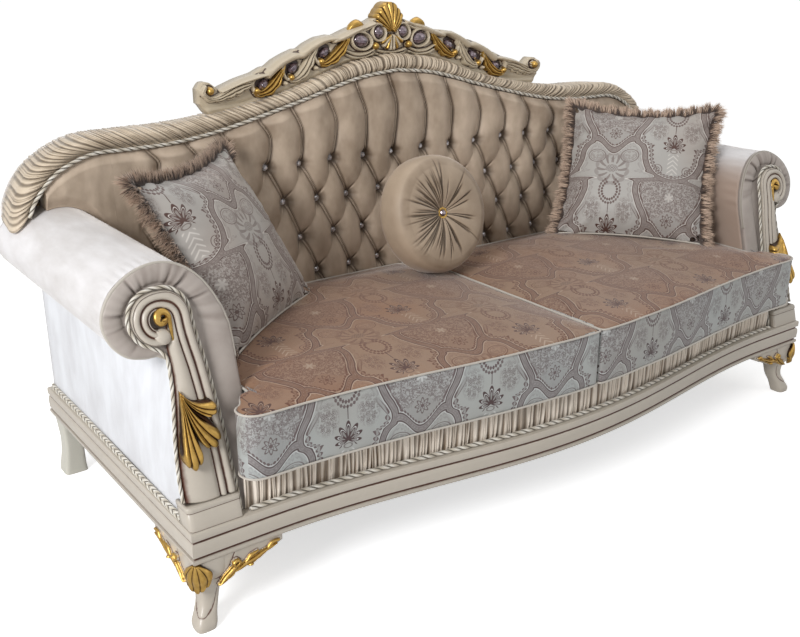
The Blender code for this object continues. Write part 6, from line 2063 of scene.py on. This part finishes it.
def knee_leaf(label, side):
    """Gilt leaf bent round the corner over a front leg."""
    rows, cols = 60, 91
    v = np.linspace(0.0, 1.0, rows)[:, None]
    u = np.linspace(-1.0, 1.0, cols)[None, :]
    flute = np.abs(np.cos(u * 2.5 * np.pi))
    # A pointed top, a broad middle and a toothed foot
    wide = np.radians(64) * np.sin(np.pi * (0.06 + 0.66 * v)) ** 0.8
    foot = 0.102 + 0.026 * np.abs(u) ** 1.3 - 0.006 * flute
    Z = 0.169 + (foot - 0.169) * v
    turn = u * wide
    bulge = 0.0065 * np.sin(np.pi * (0.1 + 0.8 * v))
    bulge = bulge + 0.0035 * (flute - 0.5) * np.sin(np.pi * np.clip(v + 0.1, 0, 1))
    bulge = bulge + 0.005 * smoothstep(v, 0.75, 1.0) - 0.0045 * np.abs(u) ** 4
    rim = smoothstep(1.0 - v, 0.0, 0.05)
    radius = 0.0330 + np.interp(Z, (0.095, 0.110, 0.135, 0.170), (-0.010, -0.004, 0.0, 0.001))
    radius = radius + bulge * (0.4 + 0.6 * rim)
    cx, cy = RAIL_HALF - 0.0285, RAIL_FRONT + 0.0285
    dx, dy = np.cos(turn - np.pi / 4), np.sin(turn - np.pi / 4)
    front = np.stack([side * (cx + radius * dx), cy + radius * dy, Z], axis=2)
    back = np.stack([side * (cx + 0.020 * dx), cy + 0.020 * dy, Z], axis=2)
    obj = slab_grid("knee_leaf_" + label, front, back)
    shade = np.broadcast_to(np.clip(0.80 - 0.70 * flute, 0.0, 1.0), Z.shape)
    darken(obj, np.r_[shade.ravel(), shade.ravel()])
    dress(obj, "gold")


def legs():
    for label, side in SIDES:
        post = leg_post("carved_leg_" + label, side, FRONT_LEG, -1, 3.4)
        dress(post, "cream", "front_leg_" + label)
        knee_bracket("front_bracket_", label, side, True)
        knee_bracket("side_bracket_", label, side, False)
        knee_leaf(label, side)
        post = leg_post("plain_leg_" + label, side, BACK_LEG, 1, 6.0)
        dress(post, "shade", "back_leg_" + label)


def rail_profile():
    """Depth, height and darkness round the moulded rail."""
    points = [(RAIL_DEPTH, RAIL_TOP, 0.3), (0.004, RAIL_TOP, 0.3), (0.0012, RAIL_TOP - 0.0012, 0.2),
              (0.0, RAIL_TOP - 0.004, 0.3), (0.0, RAIL_TOP - 0.017, 0.3)]
    for top in (RAIL_TOP - 0.0186, RAIL_TOP - 0.0572):
        points += [(0.0008, top, 0.45), (0.0038, top - 0.0010, 1.0), (0.0062, top - 0.0028, 1.0),
                   (0.0056, top - 0.0056, 1.0), (0.0024, top - 0.0074, 0.5)]
        if top > RAIL_TOP - 0.03:
            points += [(0.0008, RAIL_TOP - 0.030, 0.3), (0.0, RAIL_TOP - 0.040, 0.3),
                       (0.0008, RAIL_TOP - 0.050, 0.3)]
    points += [(0.0, RAIL_LOW + 0.0100, 0.3), (0.0, RAIL_LOW + 0.0025, 0.3), (0.0012, RAIL_LOW + 0.0006, 0.6),
               (0.003, RAIL_LOW, 0.8), (RAIL_DEPTH, RAIL_LOW, 0.3)]
    return points


def rails():
    profile = rail_profile()
    shade = [p[2] for p in profile]
    rings = [[(-(RAIL_HALF - d), RAIL_FRONT + d, z) for d, z, s in profile]]
    for x in np.linspace(-1.0, 1.0, 121):
        rings.append([(x, float(rail_front(x)) + d, z) for d, z, s in profile])
    rings.append([(RAIL_HALF - d, RAIL_FRONT + d, z) for d, z, s in profile])
    obj = loft("moulded_front_rail", rings)
    crease(obj)
    darken(obj, shade * len(rings))
    dress(obj, "cream", "front_rail")
    for label, side in SIDES:
        rings = [[(side * (RAIL_HALF - d), y + (d + 0.00045 if k == 0 else 0.0), z) for d, z, s in profile]
                 for k, y in enumerate((RAIL_FRONT, -0.3, 0.0, 0.3, RAIL_BACK))]
        obj = loft("moulded_side_rail_" + label, rings)
        crease(obj)
        darken(obj, [s - 0.12 * (s > 0.9) for s in shade] * len(rings))
        dress(obj, "cream", label + "_side_rail")


def dust_cover():
    """Thin lining stretched under the rails and tacked along its edge."""
    low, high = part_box("dust_cover")
    half, back = high[0], high[1] - DY
    xs = np.linspace(-half, half, 121)
    front = rail_front(xs) + 0.030
    X = np.repeat(xs[None, :], 61, axis=0)
    share = np.linspace(0.0, 1.0, 61)[:, None]
    Y = front + (back - front) * share
    inside = np.minimum(smoothstep(half - np.abs(X), 0.0, 0.10), np.sin(np.pi * share) ** 0.5)
    Z = (low[2] + high[2]) / 2 - 0.0020 * inside + 0.0003 * np.cos(X * 150.0) * (1 - inside)
    middle = np.stack([X, Y, Z], axis=2)
    thick = np.array((0.0, 0.0, 0.0004))
    obj = slab_grid("lining_under", middle - thick, middle + thick)
    dress(obj, "lining", "dust_cover")
    depth = back - front
    area = float(np.sum((depth[1:] + depth[:-1]) / 2 * np.diff(xs)))


def crease(obj):
    """Sharp arrises stay sharp in the shading."""
    obj.data.set_sharp_from_angle(angle=math.radians(40.0))


# Camera, lights and floor

def studio():
    scene = bpy.context.scene
    data = bpy.data.cameras.new("view")
    data.sensor_width = 36.0
    data.lens = 44.37
    data.clip_end = 150.0
    camera = bpy.data.objects.new("view", data)
    scene.collection.objects.link(camera)
    azimuth, elevation, roll = (math.radians(v) for v in (-36.4403, 20.3266, 0.1454))
    back = Vector((math.sin(azimuth) * math.cos(elevation), -math.cos(azimuth) * math.cos(elevation),
                   math.sin(elevation)))
    right = Vector((0.0, 0.0, 1.0)).cross(back).normalized()
    upward = back.cross(right)
    x_axis = math.cos(roll) * right + math.sin(roll) * upward
    y_axis = -math.sin(roll) * right + math.cos(roll) * upward
    place = Vector((-1.7737, -2.06375, 1.3754))
    rows = [[x_axis[k], y_axis[k], back[k], place[k]] for k in range(3)]
    camera.matrix_world = Matrix(rows + [[0.0, 0.0, 0.0, 1.0]])
    scene.camera = camera
    scene.view_settings.view_transform = "Standard"

    world = bpy.data.worlds.new("studio")
    scene.world = world
    world.use_nodes = True
    tree = world.node_tree
    shader = tree.nodes["Background"]
    path = tree.nodes.new("ShaderNodeLightPath")
    seen = tree.nodes.new("ShaderNodeMath")
    seen.operation = "MAXIMUM"
    tree.links.new(path.outputs["Is Camera Ray"], seen.inputs[0])
    tree.links.new(path.outputs["Is Glossy Ray"], seen.inputs[1])
    strength = tree.nodes.new("ShaderNodeMapRange")
    strength.inputs["To Min"].default_value = 0.46
    strength.inputs["To Max"].default_value = 1.0
    tree.links.new(seen.outputs[0], strength.inputs["Value"])
    tree.links.new(strength.outputs[0], shader.inputs["Strength"])
    shader.inputs["Color"].default_value = (1.0, 1.0, 1.0, 1.0)

    lamp("key", (-4.7, -1.9, 2.9), (0.0, -0.1, 0.5), 1.8, 190.0, (0.985, 0.99, 1.0))
    lamp("fill", (3.2, -2.6, 2.4), (0.2, 0.0, 0.6), 2.6, 12.0, (1.0, 0.985, 0.96))
    lamp("top", (0.3, 0.6, 3.8), (0.0, 0.0, 0.5), 2.6, 20.0, (1.0, 0.99, 0.98))

    floor = bpy.data.meshes.new("floor")
    size = 60.0
    corners = [(-size, -size, 0.0), (size, -size, 0.0), (size, size, 0.0), (-size, size, 0.0)]
    floor.from_pydata(corners, [], [(0, 1, 2, 3)])
    ground = add_object("floor", floor)
    mat = bpy.data.materials.new("floor_white")
    mat.use_nodes = True
    tree = mat.node_tree
    shader = tree.nodes["Principled BSDF"]
    shader.inputs["Base Color"].default_value = (0.86, 0.86, 0.86, 1.0)
    shader.inputs["Roughness"].default_value = 0.95
    shader.inputs["Specular IOR Level"].default_value = 0.0
    path = tree.nodes.new("ShaderNodeLightPath")
    glow = tree.nodes.new("ShaderNodeMath")
    glow.operation = "MULTIPLY"
    glow.inputs[1].default_value = 0.62
    tree.links.new(path.outputs["Is Camera Ray"], glow.inputs[0])
    shader.inputs["Emission Color"].default_value = (1.0, 1.0, 1.0, 1.0)
    tree.links.new(glow.outputs[0], shader.inputs["Emission Strength"])
    floor.materials.append(mat)


def lamp(name, place, target, size, power, colour):
    data = bpy.data.lights.new(name, "AREA")
    data.shape = "DISK"
    data.size = size
    data.energy = power
    data.color = colour
    obj = bpy.data.objects.new(name, data)
    obj.location = place
    obj.rotation_euler = (Vector(place) - Vector(target)).to_track_quat("Z", "Y").to_euler()
    bpy.context.scene.collection.objects.link(obj)


INNER_WOOD = ("corner_block", "back_post", "back_board", "arm_frame", "seat_deck", "centre_stretcher")


def keep(node, material):
    """A solid whose shape is right keeps its mesh and gets a worked finish."""
    obj = nodes[node]
    obj.data.materials.clear()
    obj.data.materials.append(MATS[material])


def build():
    seat_cushion("left", -1)
    seat_cushion("right", 1)
    tufted_back()
    ruched_border()
    outside_back()
    for label, side in SIDES:
        arm_roll(label, side)
        arm_pad(label, side)
        arm_scroll(label, side)
        acanthus(label, side)
        arm_ropes(label, side)
    apron_gathers()
    crest_relief()
    crest_fan()
    crest_curls()
    crest_stones()
    legs()
    rails()
    dust_cover()
    square_pillow("pillow_left", "left_pillow", (0.058 - ARM_INNER, SEAT_BACK - 0.506), 37.1,
                  (0.24, -0.396), 0.10)
    square_pillow("pillow_right", "right_pillow", (ARM_INNER - 0.387, SEAT_BACK - 0.174), -53.2,
                  (0.35, -0.143), 1.0)
    round_pillow()
    for node in nodes:
        if nodes[node].hide_render:
            continue
        if node.startswith(INNER_WOOD):
            keep(node, "beech")
        elif node.startswith("seat_spring"):
            keep(node, "steel")
        elif node.startswith("crest_gem"):
            keep(node, "gem")
        else:
            keep(node, "smooth")
    studio()


build()
